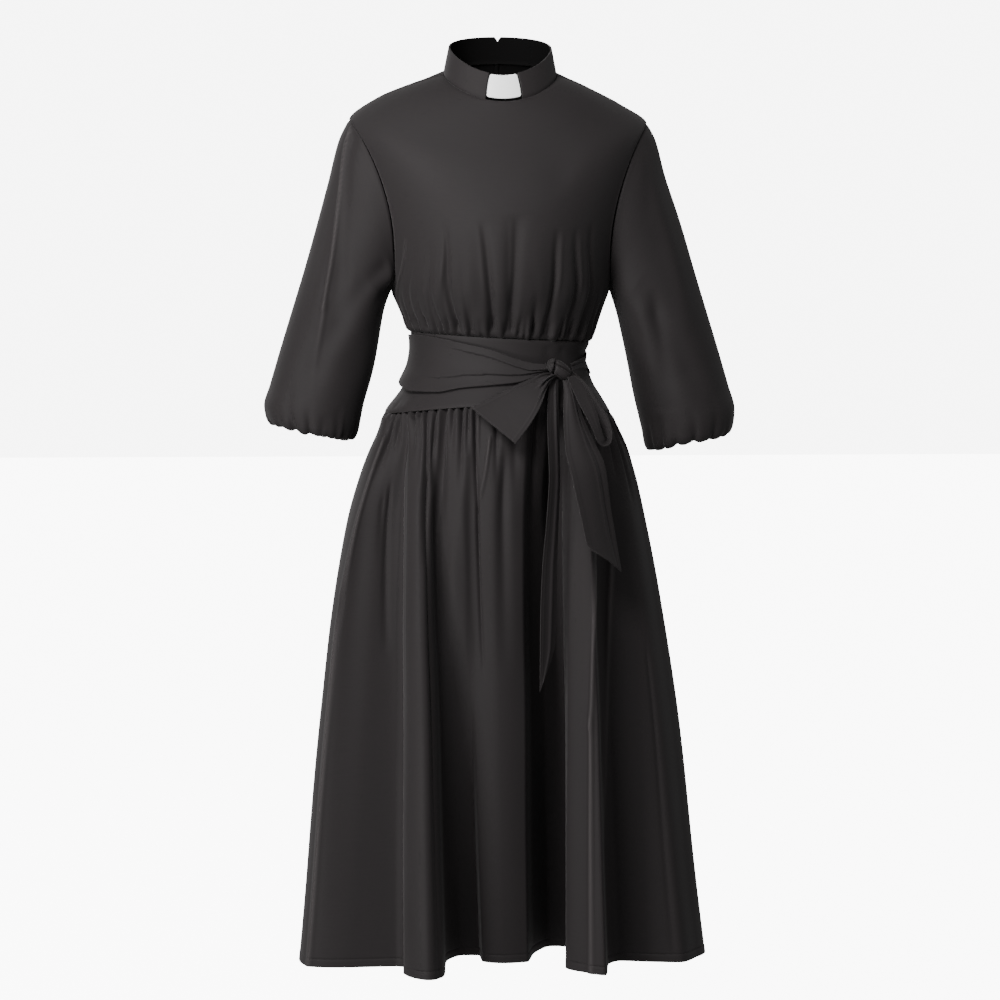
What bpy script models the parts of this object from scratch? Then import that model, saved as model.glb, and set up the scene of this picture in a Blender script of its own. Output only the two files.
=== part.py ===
"""Clergy dress in black crepe, worn length, held open as if worn, with no wearer.

Units are metres, +Z is up and the front faces -Y. The origin is the middle of the
neck opening at the height of the neck seam. Left and right are the wearer's own,
so the wearer's left is +X. Every piece is a thin cloth wall on a surface that is
worked out from the sizes below. The tables hold millimetres and degrees.
"""

from collections import namedtuple

import bmesh
import bpy
import numpy as np

MM = 0.001

# Cloth
WALL = 1.4 * MM
COLLAR_WALL = 2.4 * MM
TAB_WALL = 1.0 * MM
SEAM_GAP = 0.3 * MM
LAP = WALL + SEAM_GAP
ARC = 0.5523

CLOTH_COLOUR = (0.032, 0.029, 0.029, 1.0)
TAB_COLOUR = (0.86, 0.86, 0.85, 1.0)

RIGHT = -1
LEFT = 1
FRONT = -1
BACK = 1

# Bodice, a row for each section from the waist seam up to the neck seam: depth and
# height at the centre front and back, the side point, the armhole angle where the
# section ends on the armhole, how far its end has turned back, and the neck's lean
BodiceRow = namedtuple(
    "BodiceRow",
    "name along front_y front_z back_y back_z side_x side_y side_z arm turn lean",
)
BODICE_ROWS = (
    BodiceRow("waist seam", 0.00, -100, -324.5, 85, -322.5, 116, 0, -323.5, 180, 90, 0),
    BodiceRow("above seam", 0.03, -105, -314, 89, -313, 120.5, 0, -314, 180, 90, 0),
    BodiceRow("blousing", 0.08, -114, -299, 95, -299, 126.5, 0, -299, 180, 90, 0),
    BodiceRow("ribs", 0.13, -123, -281, 100.5, -281, 133.5, 0, -281, 180, 90, 0),
    BodiceRow("underarm", 0.19, -131, -259, 106, -259, 140.5, 0, -262, 180, 90, 0),
    BodiceRow("low bust", 0.26, -136, -234, 109, -233, 140, 0, -246, 150, 75, 0),
    BodiceRow("bust", 0.36, -135, -199, 110, -196, 143, 0, -205, 120, 58, 0),
    BodiceRow("chest", 0.50, -125, -158, 107, -150, 150, 0, -150, 88, 50, 0),
    BodiceRow("upper chest", 0.63, -110, -120, 100, -105, 165, 0, -92, 55, 58, 0),
    BodiceRow("collarbone", 0.73, -98, -94, 92, -70, 182, 0, -55, 26, 75, 0),
    BodiceRow("shoulder tip", 0.78, -90, -80, 84, -48, 193, 3, -46, 0, 90, 0),
    BodiceRow("mid shoulder", 0.88, -80, -58, 74, -18, 155, 0, -17.5, 0, 90, 0),
    BodiceRow("near neck", 0.95, -72, -41, 66, 8, 110, -3, 0.5, 0, 90, 0.15),
    BodiceRow("neck seam", 1.00, -66, -25.5, 58, 31, 72, -4, 12.5, 0, 90, 0.35),
)
BODICE_LENGTH = 360 * MM
BODICE_HALF_GIRTH = 200 * MM
BODICE_END_TRIM = 0.66 * MM
UNDERARM_AT = 0.19
SHOULDER_TIP_AT = 0.78
WAIST_TILT = -0.055

# Sleeve, a row for each ring from the armhole to the elastic: its outer and inner
# points seen from the front, its depth each way, and how far the armhole bows in
SleeveRow = namedtuple("SleeveRow", "name along out_x out_z in_x in_z front back bow")
SLEEVE_ROWS = (
    SleeveRow("armhole", 0.00, 193, -46, 140.5, -262, 62, 60, 21),
    SleeveRow("cap", 0.06, 206, -72, 143.5, -268, 62, 60, 17),
    SleeveRow("upper arm", 0.18, 221, -127, 147.5, -277, 61, 60, 12),
    SleeveRow("arm", 0.31, 236, -182, 152.5, -292, 60, 60, 8),
    SleeveRow("lower arm", 0.44, 252, -238, 158, -313, 60, 60, 4),
    SleeveRow("elbow", 0.57, 268, -290, 164.5, -340, 61, 60, 2),
    SleeveRow("below elbow", 0.70, 284, -342, 171.5, -374, 62, 61, 0),
    SleeveRow("fullness", 0.81, 297, -386, 178, -406, 65, 63, 0),
    SleeveRow("puff", 0.88, 305, -414, 182, -432, 67, 65, 0),
    SleeveRow("puff edge", 0.92, 303, -430, 185, -447, 65, 63, 0),
    SleeveRow("turn", 0.95, 296, -440, 191, -456, 58, 57, 0),
    SleeveRow("turned under", 0.975, 289, -440, 198, -455, 50, 50, 0),
    SleeveRow("elastic", 1.00, 285, -434, 202, -448, 44, 44, 0),
)
SLEEVE_LENGTH = 360 * MM
SLEEVE_LEAN = 14.3
SLEEVE_SETBACK_TOP = 0.95 * MM
SLEEVE_SETBACK_UNDER = 2.1 * MM
LEFT_SLEEVE_DROP = 15 * MM

# Soft folds of a sleeve: where each starts and ends around the ring (0 outside,
# 90 front) and along the sleeve, how far it stands out, and its half width
SleeveFold = namedtuple("SleeveFold", "name start_turn end_turn start end rise width")
SLEEVE_FOLDS = (
    SleeveFold("outer crease", 42, 62, 0.02, 0.60, 3.5, 13),
    SleeveFold("underarm drag", 150, 88, 0.05, 0.72, 4.5, 20),
    SleeveFold("elbow hollow", 112, 70, 0.30, 0.86, -5.0, 17),
    SleeveFold("back drag", 215, 285, 0.08, 0.75, 4.5, 20),
    SleeveFold("back hollow", 250, 300, 0.35, 0.86, -4.5, 18),
)

# Waistband, a row for each ring from its top seam down to the skirt seam
BandRow = namedtuple("BandRow", "name along side_z front_z back_z half_width front back")
BAND_ROWS = (
    BandRow("top seam", 0.0, -323.5, -324.5, -322.5, 116, 100, 85),
    BandRow("waist", 0.18, -341, -341, -339, 112.5, 101, 85),
    BandRow("low waist", 0.38, -360, -357, -356, 113.5, 103.5, 89),
    BandRow("hip rise", 0.60, -381, -374, -375, 119, 110, 97),
    BandRow("flare", 0.80, -402, -391, -394, 131.5, 121, 108),
    BandRow("skirt seam", 1.0, -421.5, -407.6, -412, 143, 133, 118),
)
BAND_LENGTH = 90 * MM
BAND_RADIUS = 120 * MM
BAND_COLUMNS = 23

# Skirt, its plain outline by the drop below the side of the skirt seam
SkirtRow = namedtuple("SkirtRow", "drop half_width front back")
SKIRT_ROWS = (
    SkirtRow(0, 143, 133, 118),
    SkirtRow(50, 168, 147, 133),
    SkirtRow(90, 181.5, 156, 145),
    SkirtRow(145, 195, 164, 156),
    SkirtRow(245, 213, 172, 168),
    SkirtRow(345, 226.5, 178, 177),
    SkirtRow(430, 236, 182, 184),
    SkirtRow(600, 251, 188, 194),
    SkirtRow(689, 260, 191, 198),
)
HEM_Z = -1110 * MM
SKIRT_LENGTH = 690 * MM
SKIRT_SETTLE = 0.012
SKIRT_PLACES = (0.0013, 0.014, 0.04, 0.085, 0.16, 0.28, 0.46, 0.72, 1.0)

# Skirt folds, a row for each ridge or hollow line that runs from the skirt seam to
# the hem: its angle at the seam (0 front, 90 the wearer's left side, 180 back) and
# the point where it meets the hem
FoldLine = namedtuple("FoldLine", "name seam_angle hem_x hem_y")
FRONT_FOLDS = (
    FoldLine("right side seam", -90, -256, 15),
    FoldLine("right corner", -80, -262, -112),
    FoldLine("right corner ridge", -72, -248, -156),
    FoldLine("right panel", -64, -193, -167),
    FoldLine("right panel end", -58, -140, -170),
    FoldLine("first fold, right wall", -54, -136, -212),
    FoldLine("first fold, ridge", -48, -113, -233),
    FoldLine("first fold, left wall", -42, -87, -222),
    FoldLine("first hollow, right wall", -35, -77, -140),
    FoldLine("first hollow", -29, -56, -104),
    FoldLine("first hollow, left wall", -22, -33, -108),
    FoldLine("middle fold, right wall", -17, -30, -142),
    FoldLine("middle fold, ridge", -5, -3, -153),
    FoldLine("middle fold, left wall", 7, 25, -148),
    FoldLine("deep hollow, right wall", 12, 35, -103),
    FoldLine("deep hollow", 18, 56, -70),
    FoldLine("deep hollow, left wall", 25, 76, -90),
    FoldLine("third fold, right wall", 31, 73, -180),
    FoldLine("third fold, ridge", 38, 95, -207),
    FoldLine("third fold, left wall", 44, 118, -222),
    FoldLine("left panel end", 50, 126, -166),
    FoldLine("left panel hollow", 56, 144, -154),
    FoldLine("left panel", 64, 180, -162),
    FoldLine("left corner ridge", 73, 218, -177),
    FoldLine("left corner turn", 80, 241, -150),
    FoldLine("left corner", 85, 257, -110),
    FoldLine("left side seam", 90, 256, 15),
)
BACK_FOLDS = (
    FoldLine("left side seam", 90, 256, 15),
    FoldLine("left back panel", 101, 250, 84),
    FoldLine("left back corner", 113, 219, 142),
    FoldLine("left back ridge", 124, 176, 184),
    FoldLine("left back wall", 131, 148, 168),
    FoldLine("left back hollow", 138, 128, 122),
    FoldLine("left inner ridge", 149, 92, 198),
    FoldLine("left inner wall", 156, 64, 196),
    FoldLine("left inner hollow", 163, 48, 132),
    FoldLine("middle back ridge", 174, 15, 204),
    FoldLine("middle back turn", 182, -14, 198),
    FoldLine("middle back hollow", 190, -33, 138),
    FoldLine("right inner ridge", 201, -66, 203),
    FoldLine("right inner wall", 209, -98, 196),
    FoldLine("right inner hollow", 216, -116, 130),
    FoldLine("right back ridge", 227, -152, 182),
    FoldLine("right back wall", 236, -192, 164),
    FoldLine("right back corner", 248, -228, 124),
    FoldLine("right back panel", 259, -250, 78),
    FoldLine("right side seam", 270, -256, 15),
)
FOLD_GROWTH = 0.72

# Gathers: how many, how far they stand out, and how far they run, shortest to longest
GatherSet = namedtuple("GatherSet", "count rise crest short long wobble")
SKIRT_FRONT_GATHERS = GatherSet(34, 4.2, 12, 48, 230, 1.9)
SKIRT_BACK_GATHERS = GatherSet(27, 4.2, 12, 48, 230, 2.7)
BODICE_FRONT_GATHERS = GatherSet(20, 3.6, 12, 40, 150, 2.3)
BODICE_BACK_GATHERS = GatherSet(9, 3.4, 12, 40, 130, 1.4)
SLEEVE_GATHERS = GatherSet(16, 4.2, 12, 30, 70, 3.1)

# Collar
COLLAR_HEIGHT = 33.5 * MM
COLLAR_RISE_GAP = 0.35 * MM
COLLAR_PLACES = (0.0, 0.35, 0.70, 0.88, 1.0)
COLLAR_COLUMNS = 19
TAB_ROWS = 4
TAB_COLUMNS = 11
COLLAR_TAPER = 0.905
WINDOW_RIGHT_BOTTOM = 16.6
WINDOW_RIGHT_TOP = 15.2
WINDOW_LEFT_BOTTOM = 18.8
WINDOW_LEFT_TOP = 16.6
NOTCH_DEGREES = 3.3
NOTCH_POWER = 5
BACK_GAP_DEGREES = 0.15
TAB_LAP_DEGREES = 5.5

# Sash, a row for each place along a stretch that lies on the waistband: its angle,
# the heights of its edges, and how far each edge stands off the band
WrapRow = namedtuple("WrapRow", "angle top bottom top_lift bottom_lift")
FRONT_WRAP = (
    WrapRow(-90, -321, -381, 3.6, 8.5),
    WrapRow(-75, -320.5, -387, 3.2, 8.0),
    WrapRow(-58, -321.5, -391.5, 3.2, 7.0),
    WrapRow(-41, -325, -391.5, 3.4, 5.4),
    WrapRow(-25, -331, -385.8, 3.8, 4.8),
    WrapRow(-9.5, -338, -382.4, 4.4, 5.0),
    WrapRow(6.7, -349.8, -378.8, 5.4, 6.4),
    WrapRow(17, -355.4, -372.5, 7.5, 8.5),
    WrapRow(26.5, -357.5, -367.5, 10.5, 11),
)
BACK_WRAP = (
    WrapRow(270, -321, -381, 3.6, 8.5),
    WrapRow(240, -322, -386, 4.0, 6.8),
    WrapRow(210, -324, -387, 4.0, 5.6),
    WrapRow(180, -326, -386, 4.0, 5.6),
    WrapRow(150, -329, -383, 4.0, 5.4),
    WrapRow(122, -335, -374, 4.0, 5.0),
    WrapRow(104, -341, -362, 4.0, 4.6),
    WrapRow(90, -344, -356.5, 4.2, 4.4),
)
LEFT_STRAND = (
    WrapRow(90, -344, -356.5, 4.2, 4.4),
    WrapRow(74, -348, -360, 4.2, 4.4),
    WrapRow(58, -352.4, -363, 5.5, 5.8),
    WrapRow(44, -356, -366, 11, 11.5),
)
WRAP_PLACES = (0.0, 0.12, 0.24, 0.45, 0.66, 0.85, 1.0)
STRAND_PLACES = (0.0, 0.33, 0.67, 1.0)
WRAP_START = 0.012
STRAND_START = 0.02
WRAP_FOLD_LINE = 0.12
WRAP_FOLD_RISE = 2.2 * MM
WRAP_CREASE_LINE = 0.66
WRAP_CREASE_DEPTH = 2.0 * MM

# Knot: a lump of wound cloth in front of the band
KNOT_CENTRE = np.array((68.0, -105.0, -363.5)) * MM
KNOT_RADII = np.array((17.5, 12.0, 11.5)) * MM
KNOT_TILT = 32.0
KNOT_CLEAR = WALL / 2 + SEAM_GAP

# Loose ends of the sash, a row for each section from the knot outward: the two
# edges of the strip
StripRow = namedtuple("StripRow", "x1 y1 z1 x2 y2 z2")
BOW_END = (
    StripRow(60, -110.5, -366.5, 65, -110, -371.5),
    StripRow(48, -117, -367, 54, -119, -380),
    StripRow(33, -121, -373, 49.5, -128, -390),
    StripRow(11, -128, -382, 43, -140, -406),
    StripRow(-14, -135, -394.5, 30, -151, -428),
    StripRow(-45, -143, -409, 9.5, -161, -454),
)
LOOP = (
    StripRow(76, -110, -369, 78, -104, -366),
    StripRow(88, -120, -386, 98, -108, -383),
    StripRow(92, -132, -402, 108, -116, -399),
    StripRow(98, -142, -421, 117, -123, -418),
    StripRow(107, -149, -441, 122, -127, -437),
    StripRow(117, -152, -455, 127, -129, -450),
    StripRow(126, -151, -458.5, 132, -128, -453),
    StripRow(132, -147, -451, 136, -124, -446),
    StripRow(132, -142, -437, 136, -119, -433),
    StripRow(127, -136, -421, 131.5, -113, -419),
    StripRow(118, -128, -402, 123, -105, -400),
    StripRow(107, -118, -381, 112, -96, -380),
    StripRow(96, -110, -367, 101, -93, -367),
    StripRow(77, -106, -360, 78, -101, -360),
)
NARROW_TAIL = (
    StripRow(63, -106, -370, 67, -105, -370),
    StripRow(54, -119, -389, 66, -113, -388),
    StripRow(51.5, -143, -436, 65, -130, -436),
    StripRow(52, -164, -490, 65, -148, -490),
    StripRow(48, -172, -550, 62.5, -157, -550),
    StripRow(42.5, -176, -608, 60.5, -161, -608),
    StripRow(40, -178, -668, 59.5, -163, -668),
    StripRow(39.5, -179, -715, 58, -165, -702),
    StripRow(39.0, -180, -762, 44, -177, -747),
)
WIDE_TAIL = (
    StripRow(71, -106, -370, 75, -105, -369),
    StripRow(73, -119, -389, 86, -115, -386),
    StripRow(71.5, -140, -426, 98, -129, -424),
    StripRow(72, -158, -458, 110, -142, -452),
    StripRow(79.5, -171, -494, 123, -150, -484),
    StripRow(89.5, -177, -541, 130, -153, -536),
    StripRow(99, -180, -580, 138, -155, -584),
    StripRow(108, -181, -587, 143, -157, -614),
)


def monotone(places, values, at):
    """Read a column of values at any places, on a smooth curve with no overshoot."""
    places = np.asarray(places, float)
    values = np.asarray(values, float)
    step = np.diff(places)
    slope = np.diff(values) / step
    tangent = np.empty(len(places))
    tangent[0] = slope[0]
    tangent[-1] = slope[-1]
    before = slope[:-1]
    after = slope[1:]
    level = before * after <= 0
    total = np.where(level, 1.0, before + after)
    tangent[1:-1] = np.where(level, 0.0, 2.0 * before * after / total)
    cell = np.clip(np.searchsorted(places, at, side="right") - 1, 0, len(places) - 2)
    width = step[cell]
    part = (at - places[cell]) / width
    rest = 1.0 - part
    return (
        values[cell] * (1 + 2 * part) * rest**2
        + width * tangent[cell] * part * rest**2
        + values[cell + 1] * part**2 * (3 - 2 * part)
        - width * tangent[cell + 1] * part**2 * rest
    )


def column(rows, name, key, at, unit=MM):
    """Read one named column of a table along its key column."""
    places = [getattr(row, key) for row in rows]
    values = [getattr(row, name) * unit for row in rows]
    return monotone(places, values, np.asarray(at, float))


def ease(value):
    """Rise smoothly from 0 to 1 while the value goes from 0 to 1."""
    part = np.clip(value, 0.0, 1.0)
    return part * part * (3.0 - 2.0 * part)


def stack(x, y, z):
    """Join three coordinate grids into one grid of points."""
    return np.stack(np.broadcast_arrays(x, y, z), axis=-1)


def grid_normals(grid, closed=False):
    """Unit normals of a grid of points, rows by columns."""
    if closed:
        around = np.roll(grid, -1, axis=1) - np.roll(grid, 1, axis=1)
    else:
        around = np.gradient(grid, axis=1)
    along = np.gradient(grid, axis=0)
    normal = np.cross(around, along)
    length = np.linalg.norm(normal, axis=-1, keepdims=True)
    return normal / np.maximum(length, 1e-12)


def gather_places(gathers):
    """Places of the ridges and hollows between 0 and 1, as uneven as hand gathers."""
    count = 2 * gathers.count
    number = np.arange(count + 1)
    wobble = 0.27 * np.sin(gathers.wobble * number) + 0.12 * np.sin(0.77 * number)
    places = (number + wobble) / count
    places[0] = 0.0
    places[-1] = 1.0
    return places


def gather_relief(gathers, places, distance):
    """How far gathers push a wall out, at places 0 to 1 and distances from the seam."""
    knots = gather_places(gathers)
    number = np.arange(len(knots))
    side = np.where(number % 2 == 0, -1.0, 1.0)
    vary = 0.72 + 0.28 * np.sin(2.1 * number + gathers.wobble)
    height = side * vary * gathers.rise * MM
    height[[0, -1]] = 0.0
    height[[1, -2]] *= 0.3
    mix = 0.5 + 0.5 * np.sin(1.3 * number * gathers.wobble)
    run = (gathers.short + (gathers.long - gathers.short) * mix**2.2) * MM
    cell = np.clip(np.searchsorted(knots, places, side="right") - 1, 0, len(knots) - 2)
    part = (places - knots[cell]) / (knots[cell + 1] - knots[cell])
    blend = 0.5 - 0.5 * np.cos(np.pi * part)
    rise_in = 0.4 + 0.6 * ease(distance / (gathers.crest * MM))
    first = height[cell] * (1.0 - ease(distance / run[cell]))
    second = height[cell + 1] * (1.0 - ease(distance / run[cell + 1]))
    return rise_in * (first * (1.0 - blend) + second * blend)


def armhole(turn, side, row):
    """Points of a sleeve ring: turn 0 on top, 180 at the underarm, 90 in front."""
    angle = np.radians(turn)
    middle_x = (row["out_x"] + row["in_x"]) / 2
    middle_z = (row["out_z"] + row["in_z"]) / 2
    half_x = (row["out_x"] - row["in_x"]) / 2
    half_z = (row["out_z"] - row["in_z"]) / 2
    depth = np.where(np.sin(angle) >= 0, row["front"], row["back"])
    x = middle_x + half_x * np.cos(angle) - row["bow"] * np.sin(angle) ** 2
    y = 3 * MM * (0.5 + 0.5 * np.cos(angle)) - depth * np.sin(angle)
    z = middle_z + half_z * np.cos(angle)
    return stack(side * x, y, z)


def armhole_edge(turn, side):
    """The armhole as the bodice sections leave it, straight from one to the next."""
    stops = sorted({row.arm for row in BODICE_ROWS})
    knots = np.array([-stop for stop in stops[:0:-1]] + stops, float)
    ring = sleeve_rows(0.0)
    corners = armhole(knots, side, ring)
    folded = (np.asarray(turn, float) + 180.0) % 360.0 - 180.0
    read = [np.interp(folded, knots, corners[:, axis]) for axis in range(3)]
    return np.stack(read, axis=-1)


def sleeve_rows(along):
    """Every size of the sleeve rings at the given places along the sleeve."""
    names = ("out_x", "out_z", "in_x", "in_z", "front", "back", "bow")
    return {name: column(SLEEVE_ROWS, name, "along", along) for name in names}


def bodice_surface(part, across, along):
    """Bodice points; across runs -1 to 1 from the wearer's right, along 0 to 1 up."""
    across = np.asarray(across, float)[None, :]
    along = np.asarray(along, float)[:, None]
    prefix = "front" if part == FRONT else "back"
    centre_y = column(BODICE_ROWS, prefix + "_y", "along", along)
    centre_z = column(BODICE_ROWS, prefix + "_z", "along", along)
    arm = column(BODICE_ROWS, "arm", "along", along, 1.0)
    turn = np.radians(column(BODICE_ROWS, "turn", "along", along, 1.0))
    lean = column(BODICE_ROWS, "lean", "along", along, 1.0)
    on_arm = (along > UNDERARM_AT) & (along < SHOULDER_TIP_AT)
    edge = armhole(np.where(part == FRONT, arm, -arm), LEFT, sleeve_rows(0.0))
    side_x = column(BODICE_ROWS, "side_x", "along", along)
    side_y = column(BODICE_ROWS, "side_y", "along", along)
    side_z = column(BODICE_ROWS, "side_z", "along", along)
    edge_x = np.where(on_arm, edge[..., 0], side_x)
    edge_y = np.where(on_arm, edge[..., 1], side_y)
    edge_z = np.where(on_arm, edge[..., 2], side_z)
    reach = ARC * np.abs(centre_y - edge_y) / np.sin(turn)
    third_x = edge_x - reach * np.cos(turn)
    third_y = edge_y + part * reach * np.sin(turn)
    third_z = edge_z + part * lean * reach
    q = np.abs(across)
    first = (1 - q) ** 3
    second = 3 * q * (1 - q) ** 2
    third = 3 * q * q * (1 - q)
    fourth = q**3
    x = np.sign(across) * (second * ARC * edge_x + third * third_x + fourth * edge_x)
    y = (first + second) * centre_y + third * third_y + fourth * edge_y
    z = (first + second) * centre_z + third * third_z + fourth * edge_z
    tilt = WAIST_TILT * x * (1.0 - ease(along / UNDERARM_AT))
    return stack(x, y, z + tilt)


def band_surface(angle, along):
    """Waistband points by angle (0 front, 90 the wearer's left) and along 0 to 1 down."""
    angle = np.radians(np.asarray(angle, float))
    along = np.asarray(along, float)
    width = column(BAND_ROWS, "half_width", "along", along)
    front = column(BAND_ROWS, "front", "along", along)
    back = column(BAND_ROWS, "back", "along", along)
    side_z = column(BAND_ROWS, "side_z", "along", along)
    front_z = column(BAND_ROWS, "front_z", "along", along)
    back_z = column(BAND_ROWS, "back_z", "along", along)
    ahead = np.cos(angle)
    depth = np.where(ahead >= 0, front, back)
    middle_z = np.where(ahead >= 0, front_z, back_z)
    x = width * np.sin(angle)
    y = -depth * ahead
    z = side_z + (middle_z - side_z) * ahead**2
    tilt = WAIST_TILT * x * (1.0 - ease(along / 0.6))
    return stack(x, y, z + tilt)


def band_at_height(angle, height):
    """Waistband points at an angle and a height, with the outward direction."""
    angle = np.asarray(angle, float)
    steps = np.linspace(0.0, 1.0, 61)
    along = np.empty(np.broadcast(angle, height).shape)
    wanted = np.broadcast_to(height, along.shape)
    angles = np.broadcast_to(angle, along.shape)
    for place in np.ndindex(along.shape):
        levels = band_surface(angles[place], steps)[:, 2]
        along[place] = np.interp(-wanted[place], -levels, steps)
    points = band_surface(angles, along)
    turned = np.radians(angles)
    width = np.hypot(points[..., 0], 0.0) / np.maximum(np.abs(np.sin(turned)), 1e-6)
    width = np.maximum(width, 0.1)
    depth = np.abs(points[..., 1]) / np.maximum(np.abs(np.cos(turned)), 1e-6)
    depth = np.maximum(depth, 0.08)
    out = stack(np.sin(turned) / width, -np.cos(turned) / depth, 0.0 * turned)
    out = out / np.linalg.norm(out, axis=-1, keepdims=True)
    return points, out


def skirt_surface(folds, angles, along):
    """Skirt points by seam angle and by along, 0 at the skirt seam and 1 at the hem."""
    angles = np.asarray(angles, float)
    along = np.asarray(along, float)
    seam = band_surface(angles, 1.0)
    line_angles = np.array([fold.seam_angle for fold in folds], float)
    line_seam = band_surface(line_angles, 1.0)
    hem_x = np.array([fold.hem_x for fold in folds]) * MM
    hem_y = np.array([fold.hem_y for fold in folds]) * MM
    drop_all = SKIRT_ROWS[-1].drop
    width = column(SKIRT_ROWS, "half_width", "drop", along * drop_all)
    front = column(SKIRT_ROWS, "front", "drop", along * drop_all)
    back = column(SKIRT_ROWS, "back", "drop", along * drop_all)
    spread = (width - width[0]) / (width[-1] - width[0])
    sideways = np.sin(np.radians(line_angles)) ** 4
    rows = []
    for step, t in enumerate(along):
        ahead = np.cos(np.radians(line_angles)) >= 0
        swell = np.where(ahead, front[step] / front[0], back[step] / back[0])
        full = np.where(ahead, front[-1] / front[0], back[-1] / back[0])
        move = t + (spread[step] - t) * sideways
        grow = t**FOLD_GROWTH
        line_x = line_seam[:, 0] + (hem_x - line_seam[:, 0]) * move
        line_y = line_seam[:, 1] * swell + (hem_y - line_seam[:, 1] * full) * grow
        x = monotone(line_angles, line_x, angles)
        y = monotone(line_angles, line_y, angles)
        settle = ease(t / SKIRT_SETTLE)
        x = seam[:, 0] + (x - seam[:, 0]) * settle
        y = seam[:, 1] + (y - seam[:, 1]) * settle
        z = seam[:, 2] + (HEM_Z - seam[:, 2]) * t
        rows.append(stack(x, y, z))
    return np.array(rows)


def push_from_knot(points):
    """Move points that lie in the knot straight out to just clear of it."""
    turn = np.radians(KNOT_TILT)
    along_axis = np.array((np.cos(turn), 0.0, -np.sin(turn)))
    up_axis = np.array((np.sin(turn), 0.0, np.cos(turn)))
    depth_axis = np.array((0.0, 1.0, 0.0))
    frame = np.array((along_axis, depth_axis, up_axis))
    local = (points - KNOT_CENTRE) @ frame.T
    radii = KNOT_RADII + KNOT_CLEAR
    reach = np.linalg.norm(local / radii, axis=-1, keepdims=True)
    reach = np.maximum(reach, 1e-6)
    moved = np.where(reach < 1.0, local / reach, local)
    return moved @ frame + KNOT_CENTRE


def strip_surface(rows, across_count, along_count, pleats, pleat_rise):
    """A strip of cloth through its sections, with pleats that open along it."""
    places = np.arange(len(rows), dtype=float)
    at = np.linspace(0.0, len(rows) - 1.0, along_count)
    first = [monotone(places, [getattr(r, n) * MM for r in rows], at) for n in ("x1", "y1", "z1")]
    second = [monotone(places, [getattr(r, n) * MM for r in rows], at) for n in ("x2", "y2", "z2")]
    one = np.stack(first, axis=-1)[:, None, :]
    two = np.stack(second, axis=-1)[:, None, :]
    across = np.linspace(0.0, 1.0, across_count)[None, :, None]
    grid = one + (two - one) * across
    normals = grid_normals(grid)
    wave = np.cos(2.0 * np.pi * pleats * across[..., 0])
    along = np.linspace(0.0, 1.0, along_count)[:, None]
    fade = ease(along / 0.25) * (1.0 - 0.55 * along)
    return grid + normals * (wave * fade * pleat_rise)[..., None]


def cloth_material(name, colour, roughness):
    """A plain principled material."""
    material = bpy.data.materials.new(name)
    material.use_nodes = True
    shader = material.node_tree.nodes["Principled BSDF"]
    shader.inputs["Base Color"].default_value = colour
    shader.inputs["Roughness"].default_value = roughness
    shader.inputs["Metallic"].default_value = 0.0
    return material


def cloth_object(name, grid, collection, colour, roughness, wall=WALL, closed=False):
    """A wall of cloth on a grid of points, with its thickness half to each side."""
    rows, columns = grid.shape[:2]
    mesh = bpy.data.meshes.new(name)
    shape = bmesh.new()
    corners = [shape.verts.new(point) for point in grid.reshape(-1, 3)]
    last = columns if closed else columns - 1
    for row in range(rows - 1):
        for place in range(last):
            following = (place + 1) % columns
            shape.faces.new(
                (
                    corners[row * columns + place],
                    corners[row * columns + following],
                    corners[(row + 1) * columns + following],
                    corners[(row + 1) * columns + place],
                )
            )
    shape.to_mesh(mesh)
    shape.free()
    mesh.shade_smooth()
    piece = bpy.data.objects.new(name, mesh)
    collection.objects.link(piece)
    solid = piece.modifiers.new("cloth wall", "SOLIDIFY")
    solid.thickness = wall
    solid.offset = 0.0
    mesh.materials.append(cloth_material(name, colour, roughness))
    return piece


def trimmed(places, gap):
    """Draw both ends of a run of places in by a gap."""
    places = np.array(places, float)
    places[0] += gap
    places[-1] -= gap
    return places


def build_bodice(collection):
    """Bodice front, and the back in two halves that meet at the centre back."""
    along = np.array([row.along for row in BODICE_ROWS])
    along = trimmed(along, BODICE_END_TRIM / BODICE_LENGTH)
    height = along * BODICE_LENGTH
    gathers = BODICE_FRONT_GATHERS
    places = gather_places(gathers)
    across = trimmed(2.0 * places - 1.0, SEAM_GAP / BODICE_HALF_GIRTH)
    grid = bodice_surface(FRONT, across, along)
    relief = gather_relief(gathers, places[None, :], height[:, None])
    grid = grid + grid_normals(grid) * relief[..., None]
    cloth_object("bodice_front", grid, collection, CLOTH_COLOUR, 0.6)
    for name, side in (("bodice_back_right", RIGHT), ("bodice_back_left", LEFT)):
        gathers = BODICE_BACK_GATHERS
        places = gather_places(gathers)
        across = side * trimmed(places, SEAM_GAP / BODICE_HALF_GIRTH)
        if side == LEFT:
            across = across[::-1]
            places = places[::-1]
        grid = bodice_surface(BACK, across, along)
        relief = gather_relief(gathers, places[None, :], height[:, None])
        normals = grid_normals(grid)
        if side == RIGHT:
            grid = grid[:, ::-1]
            normals = -normals[:, ::-1]
            relief = relief[:, ::-1]
        grid = grid + normals * relief[..., None]
        cloth_object(name, grid, collection, CLOTH_COLOUR, 0.6)


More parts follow.
